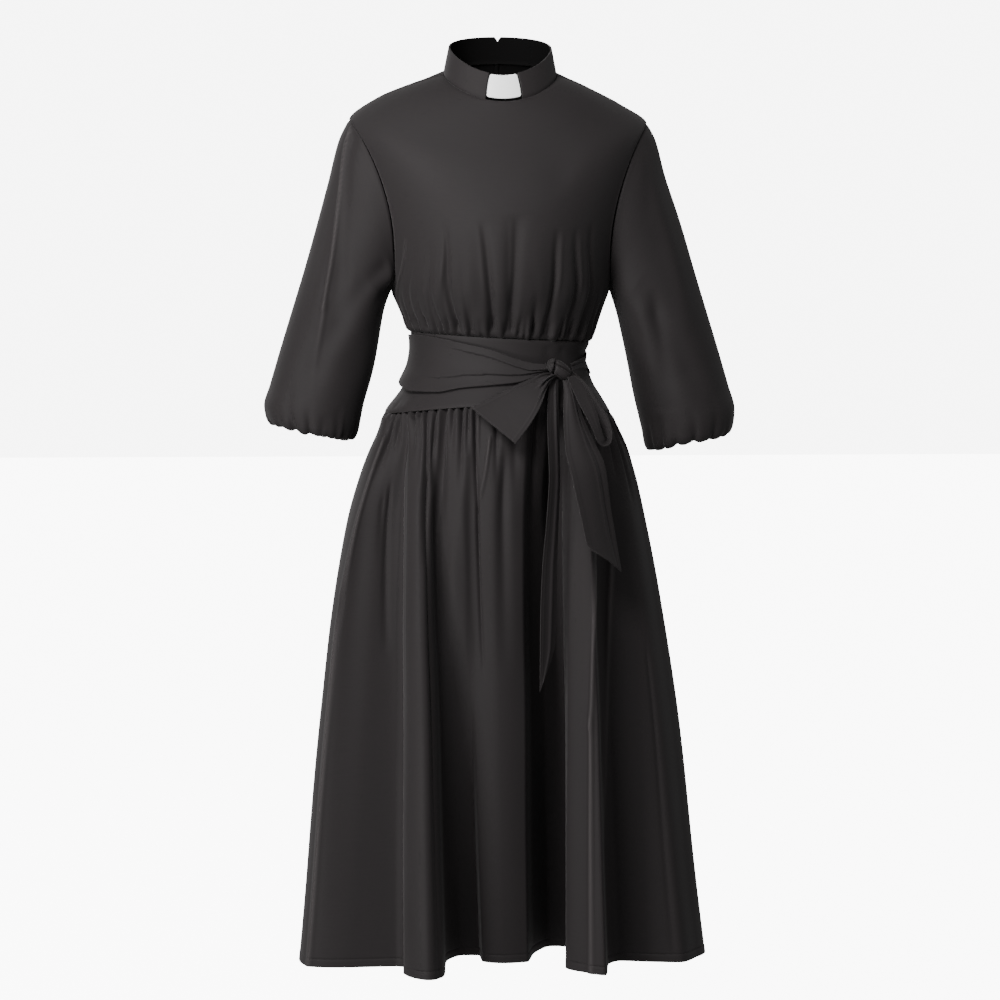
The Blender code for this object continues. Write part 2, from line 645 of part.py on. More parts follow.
def sleeve_surface(side, turns, along):
    """Sleeve points by turn around each ring and by along, armhole to elastic."""
    rows = sleeve_rows(along[:, None])
    drop = LEFT_SLEEVE_DROP if side == LEFT else 0.0
    rows["in_z"] = rows["in_z"] - drop * ease(along[:, None])
    grid = armhole(turns[None, :], side, rows)
    grid[0] = armhole_edge(turns, side)
    back_from_seam = (
        SLEEVE_SETBACK_TOP
        + (SLEEVE_SETBACK_UNDER - SLEEVE_SETBACK_TOP)
        * (0.5 - 0.5 * np.cos(np.radians(turns[None, :]))) ** 3
    )
    shift = back_from_seam * (1.0 - ease(along[:, None] / 0.18))
    lean = np.radians(SLEEVE_LEAN)
    grid[..., 0] += side * np.cos(lean) * shift
    grid[..., 2] -= np.sin(lean) * shift
    for fold in SLEEVE_FOLDS:
        part = np.clip((along - fold.start) / (fold.end - fold.start), 0.0, 1.0)
        centre = fold.start_turn + (fold.end_turn - fold.start_turn) * part
        offset = (turns[None, :] - centre[:, None] + 180.0) % 360.0 - 180.0
        shape = np.exp(-((offset / fold.width) ** 2))
        strength = np.sin(np.pi * part)[:, None] ** 0.8
        middle = grid.mean(axis=1, keepdims=True)
        out = grid - middle
        out = out / np.linalg.norm(out, axis=-1, keepdims=True)
        grid = grid + out * (shape * strength * fold.rise * MM)[..., None]
    return grid


def build_sleeves(collection):
    """Two set-in bishop sleeves, gathered and turned under onto an elastic."""
    along = np.array([row.along for row in SLEEVE_ROWS])
    gathers = SLEEVE_GATHERS
    places = gather_places(gathers)[:-1]
    turns = 360.0 * places + 180.0
    for name, side in (("sleeve_right", RIGHT), ("sleeve_left", LEFT)):
        grid = sleeve_surface(side, turns, along)
        distance = (1.0 - along[:, None]) * SLEEVE_LENGTH
        relief = gather_relief(gathers, places[None, :], distance)
        inward = 1.0 - 0.65 * ease((along[:, None] - 0.93) / 0.07)
        normals = grid_normals(grid, closed=True)
        if side == LEFT:
            normals = -normals
        grid = grid + normals * (relief * inward)[..., None]
        if side == LEFT:
            grid = grid[:, ::-1]
        cloth_object(name, grid[::-1], collection, CLOTH_COLOUR, 0.6, closed=True)


def build_waistband(collection):
    """Waistband front and back, meeting at the sides."""
    along = trimmed([row.along for row in BAND_ROWS], SEAM_GAP / 2 / BAND_LENGTH)
    gap = np.degrees(SEAM_GAP / 2 / BAND_RADIUS)
    for name, start in (("waistband_front", -90.0), ("waistband_back", 90.0)):
        angles = trimmed(np.linspace(start, start + 180.0, BAND_COLUMNS), gap)
        grid = band_surface(angles[None, :], along[:, None])
        cloth_object(name, grid[::-1], collection, CLOTH_COLOUR, 0.55)


def build_skirt(collection):
    """Skirt front and back, gathered into the waistband and joined at the sides."""
    along = np.array(SKIRT_PLACES)
    halves = (
        ("skirt_front", FRONT_FOLDS, -90.0, SKIRT_FRONT_GATHERS),
        ("skirt_back", BACK_FOLDS, 90.0, SKIRT_BACK_GATHERS),
    )
    gap = np.degrees(SEAM_GAP / (BAND_ROWS[-1].half_width * MM))
    for name, folds, start, gathers in halves:
        places = gather_places(gathers)
        angles = trimmed(start + 180.0 * places, gap)
        grid = skirt_surface(folds, angles, along)
        relief = gather_relief(gathers, places[None, :], along[:, None] * SKIRT_LENGTH)
        normals = -grid_normals(grid)
        grid = grid + normals * relief[..., None]
        cloth_object(name, grid[::-1], collection, CLOTH_COLOUR, 0.6)


def collar_surface(degrees, height, lift_in=0.0):
    """Collar points by degrees from the centre front and by height 0 to 1."""
    degrees = np.asarray(degrees, float)
    ahead = np.abs(degrees) <= 90.0
    q = np.where(ahead, np.abs(degrees), 180.0 - np.abs(degrees)) / 90.0
    grid = np.empty(degrees.shape + (3,))
    for place in np.ndindex(degrees.shape):
        part = FRONT if ahead[place] else BACK
        signed = q[place] * (1.0 if degrees[place] >= 0 else -1.0)
        grid[place] = bodice_surface(part, [signed], [1.0])[0, 0]
    middle = np.array((0.0, -4 * MM, 0.0))
    flat = (grid - middle) * np.array((1.0, 1.0, 0.0))
    distance = np.linalg.norm(flat, axis=-1, keepdims=True)
    taper = 1.0 + (COLLAR_TAPER - 1.0) * height[..., None]
    inward = flat / distance * lift_in
    grid = grid + flat * (taper - 1.0) - inward
    grid[..., 2] += COLLAR_RISE_GAP + height * (COLLAR_HEIGHT - COLLAR_RISE_GAP)
    return grid


def build_collar(collection):
    """Two collar bands that leave a window in front, and the white tab behind it."""
    height = np.array(COLLAR_PLACES)
    halves = (
        ("collar_right", RIGHT, WINDOW_RIGHT_BOTTOM, WINDOW_RIGHT_TOP),
        ("collar_left", LEFT, WINDOW_LEFT_BOTTOM, WINDOW_LEFT_TOP),
    )
    for name, side, bottom, top in halves:
        start = (bottom + (top - bottom) * height)[:, None]
        end = (180.0 - BACK_GAP_DEGREES - NOTCH_DEGREES * height**NOTCH_POWER)[:, None]
        part = np.linspace(0.0, 1.0, COLLAR_COLUMNS)[None, :]
        degrees = side * (start + (end - start) * part)
        grid = collar_surface(degrees, np.broadcast_to(height[:, None], degrees.shape))
        if side == RIGHT:
            grid = grid[:, ::-1]
        cloth_object(name, grid, collection, CLOTH_COLOUR, 0.55, COLLAR_WALL)
    height = np.linspace(0.07, 0.97, TAB_ROWS)[:, None]
    start = -WINDOW_RIGHT_BOTTOM - TAB_LAP_DEGREES
    end = WINDOW_LEFT_BOTTOM + TAB_LAP_DEGREES
    turns = np.linspace(start, end, TAB_COLUMNS)[None, :]
    degrees = np.broadcast_to(turns, (TAB_ROWS, TAB_COLUMNS))
    inset = COLLAR_WALL / 2 + 2 * SEAM_GAP + TAB_WALL / 2
    grid = collar_surface(degrees, np.broadcast_to(height, degrees.shape), inset)
    cloth_object("collar_tab", grid, collection, TAB_COLOUR, 0.35, TAB_WALL)


def wrap_surface(rows, along_count, across, start_gap):
    """A stretch of sash on the waistband, through its table of edges."""
    places = np.arange(len(rows), dtype=float)
    at = np.linspace(start_gap, len(rows) - 1.0, along_count)
    read = {
        name: monotone(places, [getattr(row, name) for row in rows], at)[None, :]
        for name in WrapRow._fields
    }
    across = np.asarray(across, float)[:, None]
    height = (read["top"] + (read["bottom"] - read["top"]) * across) * MM
    lift = (read["top_lift"] + (read["bottom_lift"] - read["top_lift"]) * across) * MM
    fold = np.exp(-(((across - WRAP_FOLD_LINE) / 0.07) ** 2)) * WRAP_FOLD_RISE
    crease = np.exp(-(((across - WRAP_CREASE_LINE) / 0.08) ** 2)) * WRAP_CREASE_DEPTH
    swell = ease(at[None, :] / 3.0)
    points, out = band_at_height(np.broadcast_to(read["angle"], height.shape), height)
    lift = np.maximum(lift + (fold - crease) * swell, LAP + 0.7 * MM)
    return points + out * lift[..., None]


def build_sash(collection):
    """The stretches of the sash that lie on the waistband."""
    grid = wrap_surface(FRONT_WRAP, 20, WRAP_PLACES, WRAP_START)
    cloth_object("sash_wrap", push_from_knot(grid)[::-1], collection, CLOTH_COLOUR, 0.5)
    grid = wrap_surface(BACK_WRAP, 22, STRAND_PLACES, 0.0)[::-1, ::-1]
    cloth_object("sash_back", grid, collection, CLOTH_COLOUR, 0.5)
    grid = wrap_surface(LEFT_STRAND, 10, STRAND_PLACES, STRAND_START)
    grid = push_from_knot(grid)[::-1, ::-1]
    cloth_object("sash_strand", grid, collection, CLOTH_COLOUR, 0.5)


def build_bow(collection):
    """Knot, bow end, loop and the two tails."""
    bow = (
        ("sash_bow_end", BOW_END, 9, 11, 2.5, 3.2 * MM),
        ("sash_loop", LOOP, 4, 30, 0.5, 1.5 * MM),
        ("sash_tail_narrow", NARROW_TAIL, 4, 17, 0.5, 2.0 * MM),
        ("sash_tail_wide", WIDE_TAIL, 6, 16, 1.0, 2.0 * MM),
    )
    for name, rows, across, along, pleats, rise in bow:
        grid = strip_surface(rows, across, along, pleats, rise)
        cloth_object(name, push_from_knot(grid), collection, CLOTH_COLOUR, 0.5)
    mesh = bpy.data.meshes.new("sash_knot")
    shape = bmesh.new()
    bmesh.ops.create_uvsphere(shape, u_segments=16, v_segments=10, radius=1.0)
    for vert in shape.verts:
        vert.co = [place * radius for place, radius in zip(vert.co, KNOT_RADII)]
    shape.to_mesh(mesh)
    shape.free()
    mesh.shade_smooth()
    mesh.materials.append(cloth_material("sash_knot", CLOTH_COLOUR, 0.5))
    knot = bpy.data.objects.new("sash_knot", mesh)
    knot.location = KNOT_CENTRE
    knot.rotation_euler = (0.0, np.radians(KNOT_TILT), 0.0)
    collection.objects.link(knot)


def main():
    """Clear the scene and build every piece of the dress."""
    for leftover in list(bpy.data.objects):
        bpy.data.objects.remove(leftover)
    collection = bpy.data.collections.new("clergy_dress")
    bpy.context.scene.collection.children.link(collection)
    build_bodice(collection)
    build_sleeves(collection)
    build_waistband(collection)
    build_skirt(collection)
    build_collar(collection)
    build_sash(collection)
    build_bow(collection)


main()
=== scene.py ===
"""Clergy dress in black crepe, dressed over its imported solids.

Units are metres, +Z is up and the front of the dress faces -Y. The wearer's left is +X.
Each cut piece is a thin sheet worked out from the dress's own sizes: the tables hold
millimetres and degrees, and the finer gathers, creases, seams and hems are laid on them.
"""

import logging
from dataclasses import dataclass, field
from enum import Enum
from typing import Any, NamedTuple, Sequence

import bpy
import numpy as np
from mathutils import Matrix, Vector


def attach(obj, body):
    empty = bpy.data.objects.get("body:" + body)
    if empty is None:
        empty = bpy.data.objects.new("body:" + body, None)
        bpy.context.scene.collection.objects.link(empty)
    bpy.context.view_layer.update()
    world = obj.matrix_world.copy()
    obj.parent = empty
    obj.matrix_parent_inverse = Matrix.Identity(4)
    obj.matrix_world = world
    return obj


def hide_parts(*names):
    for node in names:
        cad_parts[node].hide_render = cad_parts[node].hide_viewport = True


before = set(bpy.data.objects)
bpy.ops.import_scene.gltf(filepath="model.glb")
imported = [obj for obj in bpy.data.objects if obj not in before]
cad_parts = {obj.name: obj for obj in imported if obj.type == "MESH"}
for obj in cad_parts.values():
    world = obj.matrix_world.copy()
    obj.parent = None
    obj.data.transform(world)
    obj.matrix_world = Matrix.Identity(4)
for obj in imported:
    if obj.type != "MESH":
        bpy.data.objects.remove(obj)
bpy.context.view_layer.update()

LOG = logging.getLogger("clergy_dress")
Array = np.ndarray
Material = bpy.types.Material
Item = bpy.types.Object
Shade = tuple[float, float, float, float]
Place = tuple[float, float, float]
MM = 0.001
ARC = 0.5523  # handle length of a cubic curve that follows a quarter of a circle
BODY = "root"
EDGE_PLACES = np.array((0.6, 1.4, 2.4, 3.8, 5.6, 7.6, 9.4, 10.6, 12.0)) * MM
# Narrow creased ridges get a painted highlight: full at this rise, and only on ridges narrower than
# this width.
PAINTED_HIGHLIGHT_RISE = 3.6 * MM
PAINTED_HIGHLIGHT_WIDTH = 5.0


class Side(Enum):
    """The wearer's right or left, as the sign of x."""

    RIGHT = -1
    LEFT = 1


class Panel(Enum):
    """Front or back of the dress, as the sign of y."""

    FRONT = -1
    BACK = 1


class Hold(Enum):
    """How a sheet of cloth is held."""

    HUNG = "hung"
    GATHERED = "gathered"
    STRETCHED = "stretched"
    DRAPED = "draped"
    FOLDED = "folded"


def ease(value: Array) -> Array:
    """Rise smoothly from 0 to 1 while the value goes from 0 to 1."""
    part = np.clip(value, 0.0, 1.0)
    return part * part * (3.0 - 2.0 * part)


def bell(distance: Array, width: float) -> Array:
    """A soft round bump of height 1 with the given half width."""
    return np.exp(-((distance / width) ** 2))


def stack(x: Array, y: Array, z: Array) -> Array:
    """Join three coordinate grids into one grid of points."""
    return np.stack(np.broadcast_arrays(x, y, z), axis=-1)


def unit_vectors(grid: Array) -> Array:
    """Scale the vectors of a grid to length 1."""
    return grid / np.maximum(np.linalg.norm(grid, axis=-1, keepdims=True), 1e-12)


def table(kind: type, *rows: tuple) -> tuple:
    """Name the columns of a table's rows by the fields of its row type."""
    return tuple(kind(*row) for row in rows)


def monotone(places: Sequence[float], values: Sequence[float], at: Array) -> Array:
    """Read a column of values at any places, on a smooth curve with no overshoot.

    Args:
        places: rising places of the known values.
        values: the known values.
        at: the places to read.

    Returns:
        The values there.
    """
    places, values = np.asarray(places, float), np.asarray(values, float)
    step = np.diff(places)
    slope = np.diff(values) / step
    before, after = slope[:-1], slope[1:]
    level = before * after <= 0
    mean = 2.0 * before * after / np.where(level, 1.0, before + after)
    tangent = np.concatenate((slope[:1], np.where(level, 0.0, mean), slope[-1:]))
    cell = np.clip(np.searchsorted(places, at, side="right") - 1, 0, len(places) - 2)
    width = step[cell]
    part = (at - places[cell]) / width
    rest = 1.0 - part
    return (
        values[cell] * (1 + 2 * part) * rest**2
        + width * tangent[cell] * part * rest**2
        + values[cell + 1] * part**2 * (3 - 2 * part)
        - width * tangent[cell + 1] * part**2 * rest
    )


def columns(
    rows: Sequence[Any], names: str, at: Array, key: str = "along", unit: float = MM
) -> list[Array]:
    """Read named columns of a table along its key column.

    Args:
        rows: the table.
        names: the columns to read, parted by spaces.
        at: the places to read.
        key: the column that the places are in, or nothing for the rows' own numbers.
        unit: what one unit of the table is worth.

    Returns:
        The values there, an array for each column.
    """
    places = [getattr(row, key) for row in rows] if key else np.arange(len(rows))
    at = np.asarray(at, float)
    return [
        monotone(places, [getattr(row, name) * unit for row in rows], at)
        for name in names.split()
    ]


def grid_normals(grid: Array, closed: bool = False) -> Array:
    """Unit normals of a grid of points.

    Args:
        grid: points, rows by columns.
        closed: whether the last column meets the first.

    Returns:
        A grid of unit vectors.
    """
    if closed:
        around = np.roll(grid, -1, axis=1) - np.roll(grid, 1, axis=1)
    else:
        around = np.gradient(grid, axis=1)
    return unit_vectors(np.cross(around, np.gradient(grid, axis=0)))


def facing(grid: Array, closed: bool = False) -> float:
    """Whether a grid's normals point away from the dress's axis or the tube's middle.

    Args:
        grid: points, rows by columns.
        closed: whether the grid is a tube.

    Returns:
        1 where they point away, -1 where they point in.
    """
    middle = grid.mean(axis=1, keepdims=True) if closed else grid * np.array((0.0, 0.0, 1.0))
    return float(np.sign((grid_normals(grid, closed) * (grid - middle)).sum(axis=-1).mean()))


def spread(count: int, edge_places: Sequence[float], length: float) -> Array:
    """Places from 0 to 1, evenly spread, with extra ones close to both ends.

    Args:
        count: how many even places.
        edge_places: distances from each end of the extra places, in metres.
        length: the whole length, in metres.

    Returns:
        The rising places.
    """
    even = np.linspace(0.0, 1.0, count)
    near = np.asarray(edge_places, float) / length
    inner = even[(even > near[-1] * 1.2) & (even < 1.0 - near[-1] * 1.2)]
    return np.concatenate(([0.0], near, inner, 1.0 - near[::-1], [1.0]))


def edge_distance(places: Array, length: float) -> Array:
    """Distance in metres to the nearer end, for places from 0 to 1 along a length."""
    return np.minimum(places, 1.0 - places) * length


def relax(grid: Array, weight: Array, passes: int) -> Array:
    """Smooth a surface between its edges.

    Args:
        grid: points, rows by columns.
        weight: 0 where the points stay and 1 where they are smoothed fully.
        passes: how many times each point moves to the mean of its neighbours.

    Returns:
        The smoothed grid.
    """
    grid = grid.copy()
    share = 0.5 * weight[1:-1, 1:-1, None]
    for _ in range(passes):
        mean = (grid[:-2, 1:-1] + grid[2:, 1:-1] + grid[1:-1, :-2] + grid[1:-1, 2:]) / 4.0
        grid[1:-1, 1:-1] += share * (mean - grid[1:-1, 1:-1])
    return grid


@dataclass(frozen=True)
class Crease:
    """A soft trough or ridge on a panel, deep where it starts and fading to its end.

    Places and widths are flat millimetres.
    """

    u0: float
    v0: float
    u1: float
    v1: float
    width: float
    rise: float
    taper: float = 1.2
    lead: float = 0.06
    flare: float = 1.0
    bow: float = 0.0

    def relief(self, u: Array, v: Array) -> Array:
        """How far the crease moves the cloth out.

        Args:
            u: flat millimetres across the panel.
            v: flat millimetres along the panel.

        Returns:
            Metres outward, less than 0 in a trough.
        """
        run = np.array((self.u1 - self.u0, self.v1 - self.v0), float)
        length = float(np.hypot(*run))
        run = run / length
        along = ((u - self.u0) * run[0] + (v - self.v0) * run[1]) / length
        part = np.clip(along, 0.0, 1.0)
        off = (v - self.v0) * run[0] - (u - self.u0) * run[1] - self.bow * 4.0 * part * (1.0 - part)
        fade = ease(along / self.lead) * (1.0 - part) ** self.taper
        return self.rise * MM * bell(off, self.width * (1.0 + self.flare * part)) * fade


def creased(creases: Sequence[Crease], u: Array, v: Array) -> tuple[Array, Array]:
    """Lay creases on a panel.

    Args:
        creases: the panel's creases.
        u: flat metres across the panel.
        v: flat metres along the panel.

    Returns:
        Metres outward, and the painted highlight along its narrow ridges, 0 to 1.
    """
    relief = 0.0 * u * v
    painted_highlight = 0.0 * u * v
    for crease in creases:
        moved = crease.relief(u / MM, v / MM)
        relief = relief + moved
        # Narrow ridges get a painted highlight in the base colour.
        if crease.rise > 0.0 and crease.width < PAINTED_HIGHLIGHT_WIDTH:
            painted_highlight = painted_highlight + (moved / PAINTED_HIGHLIGHT_RISE) ** 2
    return relief, np.minimum(painted_highlight, 1.0)


@dataclass(frozen=True)
class Gathers:
    """A run of uneven gathers along a seam."""

    count: int
    rise: float
    crest: float
    short: float
    long: float
    wobble: float

    def places(self) -> Array:
        """Places of the ridges and hollows between 0 and 1.

        Returns:
            The rising places.
        """
        number = np.arange(2 * self.count + 1)
        wobble = 0.27 * np.sin(self.wobble * number) + 0.12 * np.sin(0.77 * number)
        places = (number + wobble) / number[-1]
        places[[0, -1]] = 0.0, 1.0
        return places

    def relief(self, places: Array, distance: Array, pinch: float = 1.0) -> Array:
        """How far the gathers push the cloth out.

        Args:
            places: 0 to 1 along the seam.
            distance: metres from the seam.
            pinch: above 1 for narrow hollows between round ridges.

        Returns:
            Metres outward.
        """
        knots = self.places()
        number = np.arange(len(knots))
        side = np.where(number % 2 == 0, -1.0, 1.0)
        height = side * (0.72 + 0.28 * np.sin(2.1 * number + self.wobble)) * self.rise * MM
        height[[0, -1]] = 0.0
        height[[1, -2]] *= 0.3
        mix = 0.5 + 0.5 * np.sin(1.3 * number * self.wobble)
        run = (self.short + (self.long - self.short) * mix**2.2) * MM
        cell = np.clip(np.searchsorted(knots, places, side="right") - 1, 0, len(knots) - 2)
        part = (places - knots[cell]) / (knots[cell + 1] - knots[cell])
        rising = cell % 2 == 0
        from_hollow = np.where(rising, part, 1.0 - part)
        shaped = 0.5 - 0.5 * np.cos(np.pi * from_hollow ** (1.0 / pinch))
        blend = np.where(rising, shaped, 1.0 - shaped)
        first = height[cell] * (1.0 - ease(distance / run[cell]))
        second = height[cell + 1] * (1.0 - ease(distance / run[cell + 1]))
        rise_in = 0.4 + 0.6 * ease(distance / (self.crest * MM))
        return rise_in * (first * (1.0 - blend) + second * blend)


class Value:
    """A shader value that takes part in sums; each sum adds its Math node."""

    def __init__(self, board: "NodeBoard", socket: Any) -> None:
        """Keep the node board and the socket that holds the value."""
        self.board = board
        self.socket = socket

    def call(self, operation: str, other: Any = 0.0) -> "Value":
        """The result of a Math node's operation on the value and another."""
        return self.board.math(operation, self, other)

    def __add__(self, other: Any) -> "Value":
        """The value plus another."""
        return self.call("ADD", other)

    __radd__ = __add__

    def __sub__(self, other: Any) -> "Value":
        """The value less another."""
        return self.call("SUBTRACT", other)

    def __rsub__(self, other: Any) -> "Value":
        """Another less the value."""
        return self.board.math("SUBTRACT", other, self)

    def __mul__(self, other: Any) -> "Value":
        """The value times another."""
        return self.call("MULTIPLY", other)

    __rmul__ = __mul__

    def __truediv__(self, other: Any) -> "Value":
        """The value divided by another."""
        return self.call("DIVIDE", other)

    def __rtruediv__(self, other: Any) -> "Value":
        """Another divided by the value."""
        return self.board.math("DIVIDE", other, self)

    def __pow__(self, other: Any) -> "Value":
        """The value raised to a power."""
        return self.call("POWER", other)


class NodeBoard:
    """The node tree of one material, with one way to add a node."""

    def __init__(self, name: str) -> None:
        """Make an empty material with its output.

        Args:
            name: the material's name.
        """
        self.material = bpy.data.materials.new(name)
        self.material.use_nodes = True
        self.tree = self.material.node_tree
        self.tree.nodes.clear()
        self.output = self.tree.nodes.new("ShaderNodeOutputMaterial")

    def add(self, kind: str, inputs: dict[Any, Any] | None = None, **settings: Any) -> Any:
        """Add a node.

        Args:
            kind: the node's type, without its prefix.
            inputs: its sockets by name or number, each a value, a socket or a number.
            settings: its settings, made first.

        Returns:
            The new node.
        """
        node = self.tree.nodes.new("ShaderNode" + kind)
        for name, value in settings.items():
            setattr(node, name, value)
        for key, value in (inputs or {}).items():
            source = value.socket if isinstance(value, Value) else value
            if isinstance(source, bpy.types.NodeSocket):
                self.tree.links.new(source, node.inputs[key])
            else:
                node.inputs[key].default_value = source
        return node

    def math(self, operation: str, first: Any, second: Any) -> Value:
        """The result of a Math node on two values or numbers."""
        return Value(self, self.add("Math", {0: first, 1: second}, operation=operation).outputs[0])

    def mix(self, factor: Any, first: Any, second: Any) -> Any:
        """The socket of a colour between two others."""
        sockets = {0: factor, 6: first, 7: second}
        return self.add("Mix", sockets, data_type="RGBA", clamp_factor=True).outputs[2]

    def noise(self, vector: Any, inputs: dict[str, float], **settings: Any) -> Value:
        """Noise at a vector, near 0.5."""
        node = self.add("TexNoise", {"Vector": vector, **inputs}, **settings)
        return Value(self, node.outputs[0])

    def world(self) -> Any:
        """The socket of the place on the object."""
        return self.add("TexCoord").outputs["Object"]

    def cloth(self) -> tuple[Value, Value]:
        """The places across and along the cloth, in metres.

        Returns:
            Both as values.
        """
        flat = self.add("UVMap", uv_map="cloth").outputs[0]
        place = self.add("SeparateXYZ", {0: flat})
        return Value(self, place.outputs[0]), Value(self, place.outputs[1])

    def bump(self, strength: float, distance: float, height: Value) -> Any:
        """The socket of a bumped normal."""
        inputs = {"Strength": strength, "Distance": distance, "Height": height}
        return self.add("Bump", inputs).outputs[0]

    def finish(self, inputs: dict[str, Any]) -> Material:
        """Join a surface shader with these inputs to the output and give the material.

        Args:
            inputs: the shader's sockets by name, each a value, a socket or a number.

        Returns:
            The finished material.
        """
        shader = self.add("BsdfPrincipled", inputs)
        self.tree.links.new(shader.outputs[0], self.output.inputs["Surface"])
        return self.material


@dataclass(frozen=True)
class CrepeFinish:
    """Black crepe: fine crossways weave, slow unevenness in shade, a soft satin face, and a painted
    highlight along its narrow ridges.
    """

    name: str
    dark: Shade = (0.0105, 0.0086, 0.0090, 1.0)
    light: Shade = (0.0145, 0.0121, 0.0125, 1.0)
    # Painted highlight: the lighter colour of narrow ridges.
    painted_highlight_colour: Shade = (0.036, 0.0315, 0.0320, 1.0)
    roughness: float = 0.72
    sheen: float = 0.05
    sheen_tint: Shade = (0.9, 0.88, 0.88, 1.0)
    weave_pitch: tuple[float, float] = (520.0, 1300.0)
    slub_pitch: tuple[float, float] = (60.0, 700.0)
    weave_depth: float = 0.16
    slub_depth: float = 0.08
    rumple_depth: float = 0.42
    stitch_lines: tuple[float, ...] = ()
    stitch_pitch: float = 2.6 * MM
    stitch_width: float = 0.7 * MM

    def build(self) -> Material:
        """Make the material.

        Returns:
            The finished material.
        """
        board = NodeBoard(self.name)
        across, along = board.cloth()
        world = board.world()
        weave = self._noise(board, across, along, self.weave_pitch, 1.0)
        slub = self._noise(board, across, along, self.slub_pitch, 2.0)
        slow = board.noise(world, {"Scale": 7.0, "Detail": 3.0})
        rumple = board.noise(world, {"Scale": 26.0, "Detail": 5.0, "Roughness": 0.55})
        shade = board.mix(
            (slow * 0.45 + slub * 0.3 + weave * 0.55 - 0.4) * 1.6, self.dark, self.light
        )
        # Painted highlight: the base colour turns lighter where the crest attribute marks narrow
        # ridges and the lower armhole seam.
        crest = board.add("Attribute", attribute_name="crest").outputs["Fac"]
        relief = weave * self.weave_depth + slub * self.slub_depth + rumple * self.rumple_depth
        for line in self.stitch_lines:
            near = (1.0 - (along - line).call("ABSOLUTE") / self.stitch_width).call("MAXIMUM")
            dash = (across / self.stitch_pitch).call("FRACT").call("LESS_THAN", 0.3)
            relief = relief - near * (dash * 0.6 + 0.4) * 0.9
        return board.finish(
            {
                "Base Color": board.mix(crest, shade, self.painted_highlight_colour),
                "Roughness": (slow - 0.5) * 0.16 + (weave - 0.5) * 0.1 + self.roughness,
                "Specular IOR Level": 0.2,
                "Sheen Weight": self.sheen,
                "Sheen Roughness": 0.5,
                "Sheen Tint": self.sheen_tint,
                "Normal": board.bump(0.6, 0.7 * MM, relief),
            }
        )

    @staticmethod
    def _noise(
        board: NodeBoard, across: Value, along: Value, pitch: tuple[float, float], detail: float
    ) -> Value:
        """Noise on the cloth's own plane.

        Args:
            board: the material's nodes.
            across: the place across the cloth, in metres.
            along: the place along the cloth, in metres.
            pitch: how many grains there are in a metre, across and along.
            detail: the noise's detail.

        Returns:
            A value near 0.5.
        """
        plane = board.add("CombineXYZ", {0: across * pitch[0], 1: along * pitch[1]}).outputs[0]
        return board.noise(plane, {"Scale": 1.0, "Detail": detail}, noise_dimensions="2D")


@dataclass(frozen=True)
class TabFinish:
    """White collar insert with a slight satin gloss, and painted shadow at its edges behind the
    collar's window.
    """

    name: str
    white: Shade = (0.92, 0.915, 0.91, 1.0)
    bright: Shade = (0.95, 0.95, 0.95, 1.0)
    # Painted shadow where the collar's edges shade the tab.
    black: Shade = (0.0045, 0.0042, 0.0042, 1.0)
    middle: float = 1.3 * MM
    lean: float = -0.014
    half_width: float = 20.3 * MM
    narrowing: float = 3.7 * MM
    bowing: float = 2.4
    half_height: float = 15.0 * MM
    centre: float = 17.6 * MM
    corner: float = 2.4 * MM
    shadow_edge_width: float = 0.25 * MM

    def _outside(self, board: NodeBoard) -> Value:
        """How far a place is outside the white part's rounded outline, in metres.

        Args:
            board: the material's nodes.

        Returns:
            The distance, less than 0 inside.
        """
        across, along = board.cloth()
        beside = across - self.middle - along * self.lean
        top = self.centre + self.half_height
        half_width = self.half_width - (along / top) ** self.bowing * self.narrowing - self.corner
        wide = (beside.call("ABSOLUTE") - half_width).call("MAXIMUM")
        high = (along - self.centre).call("ABSOLUTE") - (self.half_height - self.corner)
        return (wide**2.0 + high.call("MAXIMUM") ** 2.0) ** 0.5 - self.corner

    def build(self) -> Material:
        """Make the material.

        Returns:
            The finished material.
        """
        board = NodeBoard(self.name)
        # Painted shadow: black outside the white part's rounded outline.
        edge = (self._outside(board) / self.shadow_edge_width + 0.5).call("MAXIMUM")
        slow = board.noise(board.world(), {"Scale": 40.0, "Detail": 2.0})
        shade = board.mix(slow, self.white, self.bright)
        return board.finish(
            {
                "Base Color": board.mix(edge, shade, self.black),
                "Roughness": 0.42 + (slow - 0.5) * 0.1,
                "Normal": board.bump(0.2, 0.3 * MM, slow),
            }
        )


@dataclass(frozen=True)
class InsideShadeFinish:
    """Matte black inside of the collar and bodice, darker than the cloth's face: painted shade."""

    name: str
    # Painted shade: the inside's darker black.
    shade: Shade = (0.0042, 0.0040, 0.0040, 1.0)

    def build(self) -> Material:
        """Make the material.

        Returns:
            The finished material.
        """
        board = NodeBoard(self.name)
        rough = 0.85 + board.noise(board.world(), {"Scale": 300.0}) * 0.1
        return board.finish(
            {"Base Color": self.shade, "Roughness": rough, "Specular IOR Level": 0.04}
        )


@dataclass(frozen=True)
class FloorFinish:
    """Plain pale studio paper, lit from behind."""

    name: str
    glow: float

    def build(self) -> Material:
        """Make the material.

        Returns:
            The finished material.
        """
        return NodeBoard(self.name).finish(
            {
                "Base Color": (0.9, 0.9, 0.9, 1.0),
                "Roughness": 0.9,
                "Emission Color": (1.0, 1.0, 1.0, 1.0),
                "Emission Strength": self.glow,
            }
        )


class Push(NamedTuple):
    """A soft sideways and upward shift of everything near a place seen from the front."""

    x: float
    z: float
    reach_x: float
    reach_z: float
    move_x: float
    move_z: float


